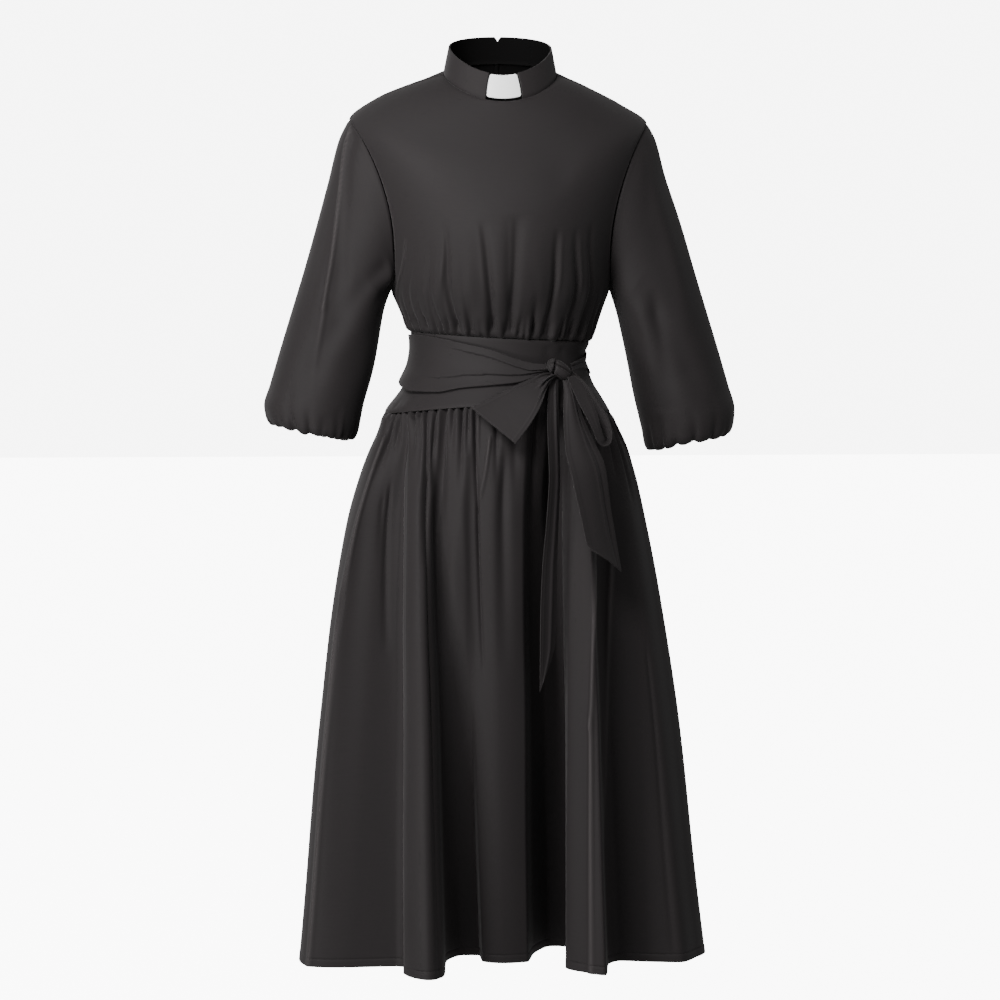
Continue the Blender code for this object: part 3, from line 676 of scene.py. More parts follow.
HANG = table(
    Push,
    (150, -28, 62, 46, -4.5, -6.5), (208, -105, 40, 62, -5.5, 0), (-172, -350, 26, 70, 6, 0),
    (-140, -420, 26, 26, -7.5, 0), (-122, -378, 26, 16, -3.5, 0), (285, -440, 46, 34, 1.5, -8),
    (190, -450, 26, 30, 4, 0), (116, -353, 24, 14, -4.5, 0), (-147, -243, 8, 18, 6, 0),
    (-290, -440, 34, 30, 0, 5),
)


def hang(grid: Array) -> Array:
    """Give the dress the uneven hang of its two sides.

    Args:
        grid: points of a piece.

    Returns:
        The moved points.
    """
    shift = np.zeros(grid.shape)
    for push in HANG:
        near = bell(grid[..., 0] - push.x * MM, push.reach_x * MM)
        near = near * bell(grid[..., 2] - push.z * MM, push.reach_z * MM)
        shift[..., 0] += near * push.move_x * MM
        shift[..., 2] += near * push.move_z * MM
    return grid + shift


def quad_cells(rows: int, places: int, across: int) -> Array:
    """The corners of every cell of a grid.

    Args:
        rows: how many rows of points.
        places: how many cells each row has.
        across: how many points a row has in the numbering of the corners.

    Returns:
        Four point numbers for each cell, going round it.
    """
    row, place = np.meshgrid(np.arange(rows - 1), np.arange(places), indexing="ij")
    here, there = row * across + place, row * across + (place + 1) % across
    return np.stack((here, there, there + across, here + across), axis=-1).reshape(-1, 4)


def make_piece(
    name: str, points: Array, faces: Sequence[Any], cloth: Array, finish: Material
) -> Item:
    """Make a piece of cloth from its points.

    Args:
        name: the piece's name.
        points: its points.
        faces: the point numbers of each face.
        cloth: the place on the flat cloth of each face's corners, in the faces' order.
        finish: the material it wears.

    Returns:
        The new object.
    """
    mesh = bpy.data.meshes.new(name)
    mesh.from_pydata(points.reshape(-1, 3).tolist(), [], faces)
    mesh.update()
    layer = mesh.uv_layers.new(name="cloth")
    layer.data.foreach_set("uv", cloth.reshape(-1).astype(np.float32))
    mesh.shade_smooth()
    mesh.materials.append(finish)
    piece = bpy.data.objects.new(name, mesh)
    bpy.context.scene.collection.objects.link(piece)
    return piece


@dataclass
class Sheet:
    """A thin sheet of cloth on a grid of points, with its cloth map and its thickness."""

    name: str
    grid: Array
    across: Array
    along: Array
    closed: bool = False
    wall: float = 1.0 * MM
    painted_highlight: Array | None = None

    def build(self, finish: Material, lining: Material | None = None) -> Item:
        """Make the piece, with its faces outward.

        Args:
            finish: the material it wears.
            lining: the darker material of its inner face, painted shade, where there is one.

        Returns:
            The new object, with live thickness.
        """
        rows, count = self.grid.shape[:2]
        cells = count if self.closed else count - 1
        order = slice(None, None, -1) if facing(self.grid, self.closed) < 0 else slice(None)
        faces = quad_cells(rows, cells, count)[:, order]
        u = np.broadcast_to(self.across, (rows, cells + 1))
        v = np.broadcast_to(self.along[:, None], u.shape)
        corners = quad_cells(rows, cells, cells + 1)[:, order]
        cloth = np.stack((u, v), axis=-1).reshape(-1, 2)[corners]
        piece = make_piece(self.name, hang(self.grid), faces.tolist(), cloth, finish)
        # The painted highlight goes to the material as the crest attribute.
        if self.painted_highlight is not None:
            crest = piece.data.attributes.new("crest", "FLOAT", "POINT")
            crest.data.foreach_set("value", self.painted_highlight.reshape(-1).astype(np.float32))
        thickness = piece.modifiers.new("cloth", "SOLIDIFY")
        thickness.thickness = self.wall
        thickness.offset = 0.0
        thickness.use_rim = True
        # The inner face wears the darker black: painted shade.
        if lining is not None:
            piece.data.materials.append(lining)
            thickness.material_offset = 1
        return piece


@dataclass
class Cut:
    """How a piece was cut."""

    width: float
    length: float
    hold: Hold
    area: float | None = None
    rests_on: tuple[str, ...] = ()


class Wardrobe:
    """Hangs each piece of the dress on the body, hides the solid that it stands for, and counts
    them.
    """

    def __init__(self) -> None:
        """Start with no pieces."""
        self.count = 0

    def add(
        self, piece: Item, slot: str, cut: Cut | None = None, with_pieces: Sequence[Item] = ()
    ) -> None:
        """Hang a piece on the body and hide the solid that it is named for.

        Args:
            piece: the new object.
            slot: not used.
            cut: how it was cut, where it is a sheet.
            with_pieces: separate pieces that are on it.
        """
        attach(piece, BODY)
        nodes = [piece.name.rsplit("_", 1)[0]]
        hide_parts(*nodes)
        if cut is not None:
            list(cut.rests_on)
            list(with_pieces)
        self.count += 1
        LOG.info("%s: %d faces", piece.name, len(piece.data.polygons))


@dataclass
class Sewn:
    """What each part of the dress is made with: the wardrobe that takes its pieces, and its
    material.
    """

    wardrobe: Wardrobe
    finish: Material


class BodiceRow(NamedTuple):
    """A section of the bodice, from the waist seam up to the neck seam."""

    name: str
    along: float
    front_y: float
    front_z: float
    back_y: float
    back_z: float
    side_x: float
    side_y: float
    side_z: float
    arm: float
    turn: float
    lean: float


class SleeveRow(NamedTuple):
    """A ring of the sleeve, from the armhole to the elastic."""

    name: str
    along: float
    out_x: float
    out_z: float
    in_x: float
    in_z: float
    front: float
    back: float
    bow: float


class SleeveFold(NamedTuple):
    """A soft fold of a sleeve: turn 0 is outside and 90 in front."""

    name: str
    start_turn: float
    end_turn: float
    start: float
    end: float
    rise: float
    width: float


class Tuck(NamedTuple):
    """A short deep crease up from the front waist seam."""

    place: float
    length: float


BODICE_ROWS = table(
    BodiceRow,
    ("waist seam", 0, -100, -324.5, 85, -322.5, 116, 0, -323.5, 180, 90, 0),
    ("above seam", 0.03, -105, -314, 89, -313, 120.5, 0, -314, 180, 90, 0),
    ("blousing", 0.08, -114, -299, 95, -299, 126.5, 0, -299, 180, 90, 0),
    ("ribs", 0.13, -123, -281, 100.5, -281, 133.5, 0, -281, 180, 90, 0),
    ("underarm", 0.19, -131, -259, 106, -259, 140.5, 0, -262, 180, 90, 0),
    ("low bust", 0.26, -136, -234, 109, -233, 140, 0, -246, 150, 75, 0),
    ("bust", 0.36, -135, -199, 110, -196, 143, 0, -205, 120, 58, 0),
    ("chest", 0.5, -125, -158, 107, -150, 150, 0, -150, 88, 50, 0),
    ("upper chest", 0.63, -110, -120, 100, -105, 165, 0, -92, 55, 58, 0),
    ("collarbone", 0.73, -98, -94, 92, -70, 182, 0, -55, 26, 75, 0),
    ("shoulder tip", 0.78, -90, -80, 84, -48, 193, 3, -46, 0, 90, 0),
    ("mid shoulder", 0.88, -80, -58, 74, -18, 155, 0, -17.5, 0, 90, 0),
    ("near neck", 0.95, -72, -41, 66, 8, 110, -3, 0.5, 0, 90, 0.15),
    ("neck seam", 1, -66, -25.5, 58, 31, 72, -4, 12.5, 0, 90, 0.35),
)

BODICE_CREASES = table(
    Crease,
    (-65, -8, -84, 152, 3.6, -6.6, 0.6, 0.06, 0.5, -2),
    (-14, -8, -28, 154, 3.6, -6.8, 0.6, 0.06, 0.6, -2),
    (9, -8, 12, 164, 4, -7.6, 0.5, 0.06, 1.6, 3),
    (54, -8, 68, 146, 3.6, -6.2, 0.6, 0.06, 0.5, 2),
    (90, -8, 102, 148, 3.6, -6.2, 0.6, 0.06, 0.6, 2),
    (120, -8, 136, 154, 4, -5.6, 0.6, 0.06, 0.6, 2), (-146, -8, -140, 142, 3.6, -2.8, 0.9),
    (-90, -8, -112, 142, 4.4, -3.6, 0.9, 0.06, 1, -2),
    (-46, -8, -57, 136, 3.6, -3.4, 0.9, 0.06, 1, -2), (37, -8, 33, 100, 3.4, -3.6),
    (-40, 30, -56, 150, 8, 2.6, 0.7, 0.3), (-4, 30, -8, 150, 8, 3, 0.7, 0.3),
    (34, 30, 44, 150, 9, 2.8, 0.7, 0.3), (76, 30, 86, 140, 8, 2.4, 0.7, 0.3),
    (110, 30, 120, 140, 8, 2, 0.7, 0.3), (-84, 30, -98, 140, 8, 2, 0.7, 0.3),
    (-196, 0, -166, 140, 2.6, 2.6, 0.3, 0.06, 0.2, -8),
    (-80, 60, -86, 150, 2.6, 1.8, 0.5, 0.4, 0.2), (4, 40, 6, 160, 2.6, 2, 0.5, 0.4, 0.2),
    (-22, 40, -34, 150, 2.6, 1.6, 0.5, 0.4, 0.2), (60, 40, 76, 140, 2.6, 1.8, 0.5, 0.4, 0.2),
    (97, 40, 111, 140, 2.6, 1.6, 0.5, 0.4, 0.2), (66, 185, 38, 304, 15, -2.2, 0.6, 0.4),
)

SEAM_TUCKS = table(
    Tuck,
    (-147, 26), (-118, 34), (-90, 30), (-65, 24), (-47, 38), (-31, 26), (-14, 30), (0, 22),
    (7, 30), (17, 26), (26, 38), (37, 24), (50, 34), (61, 28), (79, 34), (99, 30), (112, 22),
    (140, 28),
)

SLEEVE_ROWS = table(
    SleeveRow,
    ("armhole", 0, 193, -46, 140.5, -262, 62, 60, 21),
    ("cap", 0.06, 206, -72, 143.5, -268, 62, 60, 17),
    ("upper arm", 0.18, 221, -127, 147.5, -277, 61, 60, 12),
    ("arm", 0.31, 236, -182, 152.5, -292, 60, 60, 8),
    ("lower arm", 0.44, 252, -238, 158, -313, 60, 60, 4),
    ("elbow", 0.57, 268, -290, 164.5, -340, 61, 60, 2),
    ("below elbow", 0.7, 284, -342, 171.5, -374, 62, 61, 0),
    ("fullness", 0.81, 297, -386, 178, -406, 65, 63, 0),
    ("puff", 0.88, 305, -414, 182, -432, 67, 65, 0),
    ("puff edge", 0.92, 303, -430, 185, -447, 65, 63, 0),
    ("turn", 0.95, 296, -440, 191, -456, 58, 57, 0),
    ("turned under", 0.975, 289, -440, 198, -455, 50, 50, 0),
    ("elastic", 1, 285, -434, 202, -448, 44, 44, 0),
)

SLEEVE_FOLDS = table(
    SleeveFold,
    ("outer crease", 42, 62, 0.02, 0.6, 3.5, 13),
    ("underarm drag", 150, 88, 0.05, 0.72, 4.5, 20),
    ("elbow hollow", 112, 70, 0.3, 0.86, -5, 17),
    ("back drag", 215, 285, 0.08, 0.75, 4.5, 20),
    ("back hollow", 250, 300, 0.35, 0.86, -4.5, 18),
)

SLEEVE_CREASES = {
    Side.RIGHT: table(
        Crease,
        (22, 0, 72, 190, 2, 3.6, 0.15, 0.03, 0.1, -7), (71, 170, 90, 300, 3, 2.4, 0.9, 0.1),
        (32, 0, 84, 190, 7, -2.6, 0.3, 0.03, 0.5, -7), (160, 20, 124, 170, 7, -4.2, 0.6, 0.1),
        (134, 24, 104, 170, 6, -3, 0.6, 0.2), (149, 18, 111, 190, 9, 3.6, 0.7, 0.2),
        (74, 100, 104, 230, 9, -3.2, 0.7, 0.3), (74, 352, 56, 280, 4, -3.4, 0.8),
        (97, 352, 88, 298, 3.4, -2.8, 0.8), (106, 358, 112, 312, 3.4, -3.6, 0.8),
        (132, 354, 128, 300, 3.6, -3, 0.8), (236, 350, 250, 280, 4, -3, 0.8),
        (290, 350, 282, 290, 4, -3, 0.8), (250, 40, 282, 190, 9, 3.2, 0.7, 0.2),
        (300, 110, 286, 240, 9, -3, 0.7, 0.3),
    ),
    Side.LEFT: table(
        Crease,
        (30, 4, 74, 70, 7, -2.4, 1.2, 0.2), (102, 130, 126, 300, 8, -4.6, 0.5, 0.25, 1, 4),
        (124, 120, 144, 290, 9, 2.4, 0.5, 0.25, 1, 4), (144, 352, 142, 296, 3.6, -3.2, 0.8),
        (118, 352, 124, 310, 3.4, -2.8, 0.8), (92, 352, 96, 300, 3.6, -3, 0.8),
        (66, 352, 62, 290, 4, -3, 0.8), (236, 350, 250, 280, 4, -3, 0.8),
        (296, 350, 288, 290, 4, -3, 0.8), (250, 40, 282, 190, 9, 3.2, 0.7, 0.2),
        (304, 110, 290, 240, 9, -3, 0.7, 0.3),
    ),
}


@dataclass
class Armhole:
    """The ring where a sleeve is set in, and the sleeve's other rings."""

    rows: tuple[SleeveRow, ...] = SLEEVE_ROWS
    tip_back: float = 3 * MM

    def sizes(self, along: Array) -> dict[str, Array]:
        """Every size of the rings at the given places along the sleeve."""
        names = "out_x out_z in_x in_z front back bow"
        return dict(zip(names.split(), columns(self.rows, names, along)))

    def ring(self, turn: Array, side: int, sizes: dict[str, Array]) -> Array:
        """Points of a ring.

        Args:
            turn: degrees, 0 on top, 180 at the underarm and 90 in front.
            side: -1 for the wearer's right, 1 for the left.
            sizes: the ring's sizes.

        Returns:
            A grid of points.
        """
        cos, sin = np.cos(np.radians(turn)), np.sin(np.radians(turn))
        depth = np.where(sin >= 0, sizes["front"], sizes["back"])
        x, z = (
            (sizes["out_" + name] + sizes["in_" + name]) / 2
            + (sizes["out_" + name] - sizes["in_" + name]) / 2 * cos
            for name in "xz"
        )
        y = self.tip_back * (0.5 + 0.5 * cos) - depth * sin
        return stack(side * (x - sizes["bow"] * sin**2), y, z)


@dataclass
class Bodice(Sewn):
    """Bodice front, and the back in two halves that meet at the centre back."""

    # The inner face's darker black, painted shade.
    lining: Material
    rows: tuple[BodiceRow, ...] = BODICE_ROWS
    armhole: Armhole = field(default_factory=Armhole)
    height: float = 360 * MM
    half_girth: float = 200 * MM
    seam_gap: float = 0.48 * MM
    side_gap: float = 0.03 * MM
    underarm_at: float = 0.19
    tip_at: float = 0.78
    waist_tilt: float = -0.055
    seam_depth: float = 1.1 * MM
    seam_width: float = 2.0 * MM
    swell: float = 0.9 * MM
    swell_at: float = 4.6 * MM
    swell_width: float = 1.6 * MM
    deepest: float = 8.5 * MM
    shallow: float = 1.8 * MM
    full_at: float = 16 * MM
    tuck_down: float = 1.3 * MM
    tuck_in: float = 1.6 * MM
    relax_from: float = 45 * MM
    relax_passes: int = 140
    lines: int = 96
    front_gathers: Gathers = Gathers(20, 3.6, 6, 34, 110, 2.3)
    back_gathers: Gathers = Gathers(9, 3.8, 8, 50, 150, 1.4)
    fine_gathers: Gathers = Gathers(44, 1.2, 4, 10, 30, 1.7)

    def surface(self, panel: Panel, across: Array, along: Array) -> Array:
        """Plain bodice points, on a cubic curve from the centre to the side of each section.

        Args:
            panel: front or back.
            across: -1 to 1 from the wearer's right.
            along: 0 to 1 up from the waist seam.

        Returns:
            A grid of points, rows along by columns across.
        """
        part = panel.value
        across = np.asarray(across, float)[None, :, None]
        along = np.asarray(along, float)[:, None]
        word = panel.name.lower()
        names = f"{word}_y {word}_z side_x side_y side_z"
        y, z, *side = columns(self.rows, names, along)
        arm, turn, lean = columns(self.rows, "arm turn lean", along, unit=1.0)
        turn = np.radians(turn)
        ring = self.armhole.ring(-part * arm, 1, self.armhole.sizes(np.array(0.0)))
        on_arm = (along > self.underarm_at) & (along < self.tip_at)
        edge = np.where(on_arm[..., None], ring, stack(*side))
        reach = ARC * np.abs(y - edge[..., 1]) / np.sin(turn)
        away = stack(-np.cos(turn), part * np.sin(turn), part * lean)
        q = np.abs(across)
        grid = (
            (1 - q) ** 3 * stack(0.0, y, z)
            + 3 * q * (1 - q) ** 2 * stack(ARC * edge[..., 0], y, z)
            + 3 * q * q * (1 - q) * (edge + reach[..., None] * away)
            + q**3 * edge
        )
        grid[..., 0] *= np.sign(across[..., 0])
        tilt = self.waist_tilt * grid[..., 0] * (1.0 - ease(along / self.underarm_at))
        grid[..., 2] += tilt
        return grid

    def seam_roll(self, across_edge: Array, along_edge: Array) -> Array:
        """How far the cloth dips and swells beside its seams, by the distances to them.

        Args:
            across_edge: metres to the nearer side seam.
            along_edge: metres to the nearer end seam.

        Returns:
            Metres outward.
        """
        beside = bell(across_edge, self.seam_width) + bell(along_edge, self.seam_width)
        swell = self.swell * bell(across_edge - self.swell_at, self.swell_width)
        return swell - self.seam_depth * np.minimum(beside, 1.0)

    def seam_painted_highlight(self, across_edge: Array, height: Array) -> Array:
        """Painted highlight on the edge of the cloth turned into the lower armhole seam, 0 to 1."""
        low = ease((height - 60 * MM) / (20 * MM)) * (1.0 - ease((height - 200 * MM) / (80 * MM)))
        return 0.55 * bell(across_edge - 3.6 * MM, 1.5 * MM) * low

    def _panel(self, name: str, panel: Panel, places: Array, across: Array, cut: Cut) -> None:
        """Make one bodice piece with its gathers, creases and seams.

        Args:
            name: the solid's name.
            panel: front or back.
            places: 0 to 1 across the piece.
            across: the same places as -1 to 1 across the whole panel.
            cut: how it was cut.
        """
        front = panel is Panel.FRONT
        gathers = self.front_gathers if front else self.back_gathers
        tucks = (Crease(t.place, -4, t.place * 1.03, t.length, 2.2, -3.4, 0.9) for t in SEAM_TUCKS)
        creases = BODICE_CREASES + tuple(tucks) if front else ()
        gap = self.seam_gap / self.height
        along = gap + spread(self.lines, EDGE_PLACES, self.height) * (1.0 - 2.0 * gap)
        grid = self.surface(panel, across, along)
        height = along[:, None] * self.height
        flat_u = across[None, :] * self.half_girth
        relief, painted_highlight = creased(creases, flat_u, height)
        relief = relief + gathers.relief(places[None, :], height, 1.5)
        relief = relief + self.fine_gathers.relief(places[None, :], height, 1.4)
        depth = self.shallow + (self.deepest - self.shallow) * ease(height / self.full_at)
        relief = np.maximum(relief, -depth)
        beside = edge_distance(places[None, :], self.half_girth * (across.max() - across.min()))
        relief = relief + self.seam_roll(beside, np.minimum(height, self.height - height))
        # Painted highlight beside the lower armhole seam.
        if front:
            painted_highlight = np.minimum(painted_highlight + self.seam_painted_highlight(beside, height), 1.0)
        inner = np.minimum(np.minimum(beside, self.height - height), height + 20 * MM)
        grid = relax(grid, ease(inner / self.relax_from), self.relax_passes)
        normals = grid_normals(grid) * facing(grid)
        grid = grid + normals * relief[..., None]
        grid[0] -= np.array((0.0, 0.0, self.tuck_down)) + normals[0] * self.tuck_in
        sheet = Sheet(name + "_cloth", grid, flat_u, height[:, 0], painted_highlight=painted_highlight)
        self.wardrobe.add(sheet.build(self.finish, self.lining), "dress_crepe", cut)

    def build(self) -> None:
        """Make the three bodice pieces."""
        gap = self.side_gap / self.half_girth
        places = spread(230, EDGE_PLACES, 2 * self.half_girth)
        across = (2.0 * places - 1.0) * (1.0 - gap)
        cut = Cut(0.48, 0.40, Hold.HUNG, 0.150)
        self._panel("bodice_front", Panel.FRONT, places, across, cut)
        places = spread(110, EDGE_PLACES, self.half_girth)
        cut = Cut(0.25, 0.42, Hold.HUNG, 0.072)
        for side in Side:
            across = side.value * (gap + places * (1.0 - 2.0 * gap))
            name = "bodice_back_" + side.name.lower()
            self._panel(name, Panel.BACK, places, across, cut)


@dataclass
class Sleeves(Sewn):
    """Two set-in bishop sleeves, gathered and turned under onto an elastic."""

    armhole: Armhole = field(default_factory=Armhole)
    length: float = 360 * MM
    girth: float = 380 * MM
    lean: float = 14.3
    setback_top: float = 0.95 * MM
    setback_under: float = 1.2 * MM
    left_drop: float = 15 * MM
    seam_depth: float = 1.1 * MM
    seam_width: float = 2.0 * MM
    cuff_at: float = 0.93
    cuff_flat: float = 0.65
    points: int = 220
    gathers: Gathers = Gathers(16, 4.2, 12, 30, 70, 3.1)
    fine_gathers: Gathers = Gathers(34, 1.4, 8, 16, 44, 2.2)

    def surface(self, side: Side, turns: Array, along: Array) -> Array:
        """Sleeve points with their large folds.

        Args:
            side: the wearer's right or left.
            turns: degrees around each ring, as one row.
            along: 0 to 1 from the armhole to the elastic, as one column.

        Returns:
            A grid of points, rings by turns.
        """
        sizes = self.armhole.sizes(along)
        if side is Side.LEFT:
            sizes["in_z"] = sizes["in_z"] - self.left_drop * ease(along)
        grid = self.armhole.ring(turns, side.value, sizes)
        under = (0.5 - 0.5 * np.cos(np.radians(turns))) ** 3
        setback = self.setback_top + (self.setback_under - self.setback_top) * under
        shift = setback * (1.0 - ease(along / 0.18))
        lean = np.radians(self.lean)
        grid[..., 0] += side.value * np.cos(lean) * shift
        grid[..., 2] -= np.sin(lean) * shift
        for fold in SLEEVE_FOLDS:
            part = np.clip((along - fold.start) / (fold.end - fold.start), 0.0, 1.0)
            centre = fold.start_turn + (fold.end_turn - fold.start_turn) * part
            offset = (turns - centre + 180.0) % 360.0 - 180.0
            relief = bell(offset, fold.width) * np.sin(np.pi * part) ** 0.8 * fold.rise * MM
            out = unit_vectors(grid - grid.mean(axis=1, keepdims=True))
            grid = grid + out * relief[..., None]
        return grid

    def build(self) -> None:
        """Make both sleeves."""
        places = np.linspace(0.0, 1.0, self.points, endpoint=False)[None, :]
        turns = 360.0 * places + 180.0
        even = (np.linspace(0, 0.8, 64), np.linspace(0.8, 1, 44))
        along = np.unique(np.concatenate((EDGE_PLACES / self.length, *even)))[:, None]
        down = along * self.length
        distance = self.length - down
        for side in Side:
            grid = self.surface(side, turns, along)
            creases = SLEEVE_CREASES[side]
            relief, painted_highlight = creased(creases, (turns % 360.0) / 360.0 * self.girth, down)
            relief = relief + self.gathers.relief(places, distance, 1.5)
            relief = relief + self.fine_gathers.relief(places, distance, 1.3)
            cuff = ease((along - self.cuff_at) / (1.0 - self.cuff_at))
            relief = relief * (1.0 - self.cuff_flat * cuff)
            relief = relief - self.seam_depth * bell(down, self.seam_width)
            normals = grid_normals(grid, closed=True) * facing(grid, closed=True)
            grid = grid + normals * relief[..., None]
            across = np.linspace(0.0, self.girth, self.points + 1)[None, :]
            name = f"sleeve_{side.name.lower()}_cloth"
            sheet = Sheet(name, grid, across, down[:, 0], closed=True, painted_highlight=painted_highlight)
            cut = Cut(0.42, 0.42, Hold.GATHERED, 0.145)
            self.wardrobe.add(sheet.build(self.finish), "dress_crepe", cut)


class BandRow(NamedTuple):
    """A ring of the waistband, from its top seam down to the skirt seam."""

    name: str
    along: float
    side_z: float
    front_z: float
    back_z: float
    half_width: float
    front: float
    back: float


BAND_ROWS = table(
    BandRow,
    ("top seam", 0, -323.5, -324.5, -322.5, 116, 100, 85),
    ("waist", 0.18, -341, -341, -339, 112.5, 101, 85),
    ("low waist", 0.38, -360, -357, -356, 113.5, 103.5, 89),
    ("hip rise", 0.6, -381, -374, -375, 119, 110, 97),
    ("flare", 0.8, -402, -391, -394, 131.5, 121, 108),
    ("skirt seam", 1, -421.5, -407.6, -412, 143, 133, 118),
)

BAND_CREASES = table(
    Crease,
    (-150, 84, -140, 66, 5, -1.2), (-128, 86, -118, 62, 5, 1.2), (-108, 86, -100, 64, 4, -1),
    (60, 6, 64, 60, 5, -1.3), (84, 6, 90, 56, 5, -1.5),
)


@dataclass
class Waistband(Sewn):
    """Fitted inset band, flared to the hip, in a front and a back half."""

    rows: tuple[BandRow, ...] = BAND_ROWS
    depth: float = 90 * MM
    radius: float = 120 * MM
    tilt: float = -0.055
    half_gap: float = 0.15 * MM
    seam_depth: float = 0.9 * MM
    seam_width: float = 1.8 * MM

    def surface(self, angle: Array, along: Array) -> Array:
        """Waistband points.

        Args:
            angle: degrees, 0 in front and 90 at the wearer's left.
            along: 0 to 1 down from the top seam.

        Returns:
            A grid of points.
        """
        angle = np.radians(np.asarray(angle, float))
        along = np.asarray(along, float)
        names = "half_width side_z front front_z back back_z"
        half_width, side_z, front, front_z, back, back_z = columns(self.rows, names, along)
        ahead = np.cos(angle)
        x = half_width * np.sin(angle)
        y = -np.where(ahead >= 0, front, back) * ahead
        z = side_z + (np.where(ahead >= 0, front_z, back_z) - side_z) * ahead**2
        return stack(x, y, z + self.tilt * x * (1.0 - ease(along / 0.6)))

    def at_height(self, angles: Array, heights: Array) -> tuple[Array, Array]:
        """Waistband points at given heights.

        Args:
            angles: degrees, one for each column.
            heights: heights in metres, rows by columns.

        Returns:
            The points, and the directions straight out from the band.
        """
        steps = np.linspace(0.0, 1.0, 161)
        along = np.empty(heights.shape)
        for place, angle in enumerate(angles):
            levels = self.surface(np.full(steps.shape, angle), steps)[:, 2]
            along[:, place] = np.interp(-heights[:, place], -levels, steps)
        angles = np.broadcast_to(angles, heights.shape)
        points = self.surface(angles, along)
        sin, cos = np.sin(np.radians(angles)), np.cos(np.radians(angles))
        width = np.maximum(np.abs(points[..., 0]) / np.maximum(np.abs(sin), 1e-6), 0.1)
        depth = np.maximum(np.abs(points[..., 1]) / np.maximum(np.abs(cos), 1e-6), 0.08)
        return points, unit_vectors(stack(sin / width, -cos / depth, 0.0 * sin))

    def build(self) -> None:
        """Make the front and back halves."""
        gap = self.half_gap / self.depth
        along = gap + spread(22, EDGE_PLACES[:6], self.depth)[:, None] * (1.0 - 2.0 * gap)
        half = np.pi * self.radius
        places = spread(120, EDGE_PLACES[:6], half)[None, :]
        turn_gap = np.degrees(self.half_gap / self.radius)
        for word, start in (("front", -90.0), ("back", 90.0)):
            angles = start + turn_gap + places * (180.0 - 2.0 * turn_gap)
            grid = self.surface(angles, along)
            flat_u = np.radians(angles) * self.radius
            flat_v = along * self.depth
            relief, _ = creased(BAND_CREASES, flat_u, flat_v)
            ends = bell(edge_distance(along, self.depth), self.seam_width)
            sides = bell(edge_distance(places, half), self.seam_width)
            seams = np.minimum(ends + sides, 1.0)
            relief = relief - self.seam_depth * seams
            grid = grid + grid_normals(grid) * facing(grid) * relief[..., None]
            sheet = Sheet(f"waistband_{word}_cloth", grid, flat_u, flat_v[:, 0])
            cut = Cut(0.42, 0.12, Hold.STRETCHED, 0.0375)
            self.wardrobe.add(sheet.build(self.finish), "dress_crepe", cut)


class SkirtRow(NamedTuple):
    """The skirt's plain outline at a drop below the side of its seam."""

    drop: float
    half_width: float
    front: float
    back: float


class FoldLine(NamedTuple):
    """A ridge or hollow line from the skirt seam to the hem."""

    name: str
    seam_angle: float
    hem_x: float
    hem_y: float
    growth: float = 0.72


class SkirtHalf(NamedTuple):
    """The front or back of the skirt, with its columns of points."""

    word: str
    folds: tuple[FoldLine, ...]
    start: float
    gathers: Gathers
    creases: tuple[Crease, ...]
    count: int


class Sway(NamedTuple):
    """How far the skirt hangs to one side at a drop below its seam."""

    drop: float
    shift: float


SKIRT_ROWS = table(
    SkirtRow,
    (0, 143, 133, 118), (50, 168, 147, 133), (90, 181.5, 156, 145), (145, 195, 164, 156),
    (245, 213, 172, 168), (345, 226.5, 178, 177), (430, 236, 182, 184), (600, 251, 188, 194),
    (689, 260, 191, 198),
)

FRONT_FOLDS = table(
    FoldLine,
    ("right side seam", -90, -256, 15),
    ("right corner", -80, -262, -112),
    ("right corner ridge", -72, -248, -156, 0.5),
    ("right panel", -64, -193, -167),
    ("right panel end", -58, -139, -166, 0.9),
    ("first fold, right wall", -54, -133, -204, 0.6),
    ("first fold, ridge", -47, -101, -233, 0.6),
    ("first fold, left wall", -42, -83, -222, 0.65),
    ("first hollow, right wall", -35, -77, -140, 1.3),
    ("first hollow", -29, -54, -108, 1.7),
    ("first hollow, left wall", -22, -33, -110, 1.6),
    ("middle fold, right wall", -17, -30, -142),
    ("middle fold, ridge", -4, -3, -153),
    ("middle fold, left wall", 10, 25, -148, 0.6),
    ("deep hollow, right wall", 14.5, 37, -103, 0.6),
    ("deep hollow", 21, 60, -68, 0.7),
    ("deep hollow, left wall", 29, 82, -88, 0.5),
    ("third fold, right wall", 38, 72, -180, 0.6),
    ("third fold, ridge", 43, 95, -207, 0.55),
    ("third fold, left wall", 49, 117, -222, 0.5),
    ("left panel end", 52.5, 127, -164, 0.7),
    ("left panel hollow", 57.5, 144, -150, 0.7),
    ("left panel", 64, 180, -157),
    ("left corner ridge", 73, 218, -162),
    ("left corner turn", 80, 241, -137),
    ("left corner", 85, 257, -102),
    ("left side seam", 90, 256, 15),
)

BACK_FOLDS = table(
    FoldLine,
    ("left side seam", 90, 256, 15),
    ("left back panel", 101, 250, 84),
    ("left back corner", 113, 219, 142),
    ("left back ridge", 124, 176, 184),
    ("left back wall", 131, 148, 168),
    ("left back hollow", 138, 128, 122),
    ("left inner ridge", 149, 92, 198),
    ("left inner wall", 156, 64, 196),
    ("left inner hollow", 163, 48, 132),
    ("middle back ridge", 174, 15, 204),
    ("middle back turn", 182, -14, 198),
    ("middle back hollow", 190, -33, 138),
    ("right inner ridge", 201, -66, 203),
    ("right inner wall", 209, -98, 196),
    ("right inner hollow", 216, -116, 130),
    ("right back ridge", 227, -152, 182),
    ("right back wall", 236, -192, 164),
    ("right back corner", 248, -228, 124),
    ("right back panel", 259, -250, 78),
    ("right side seam", 270, -256, 15),
)

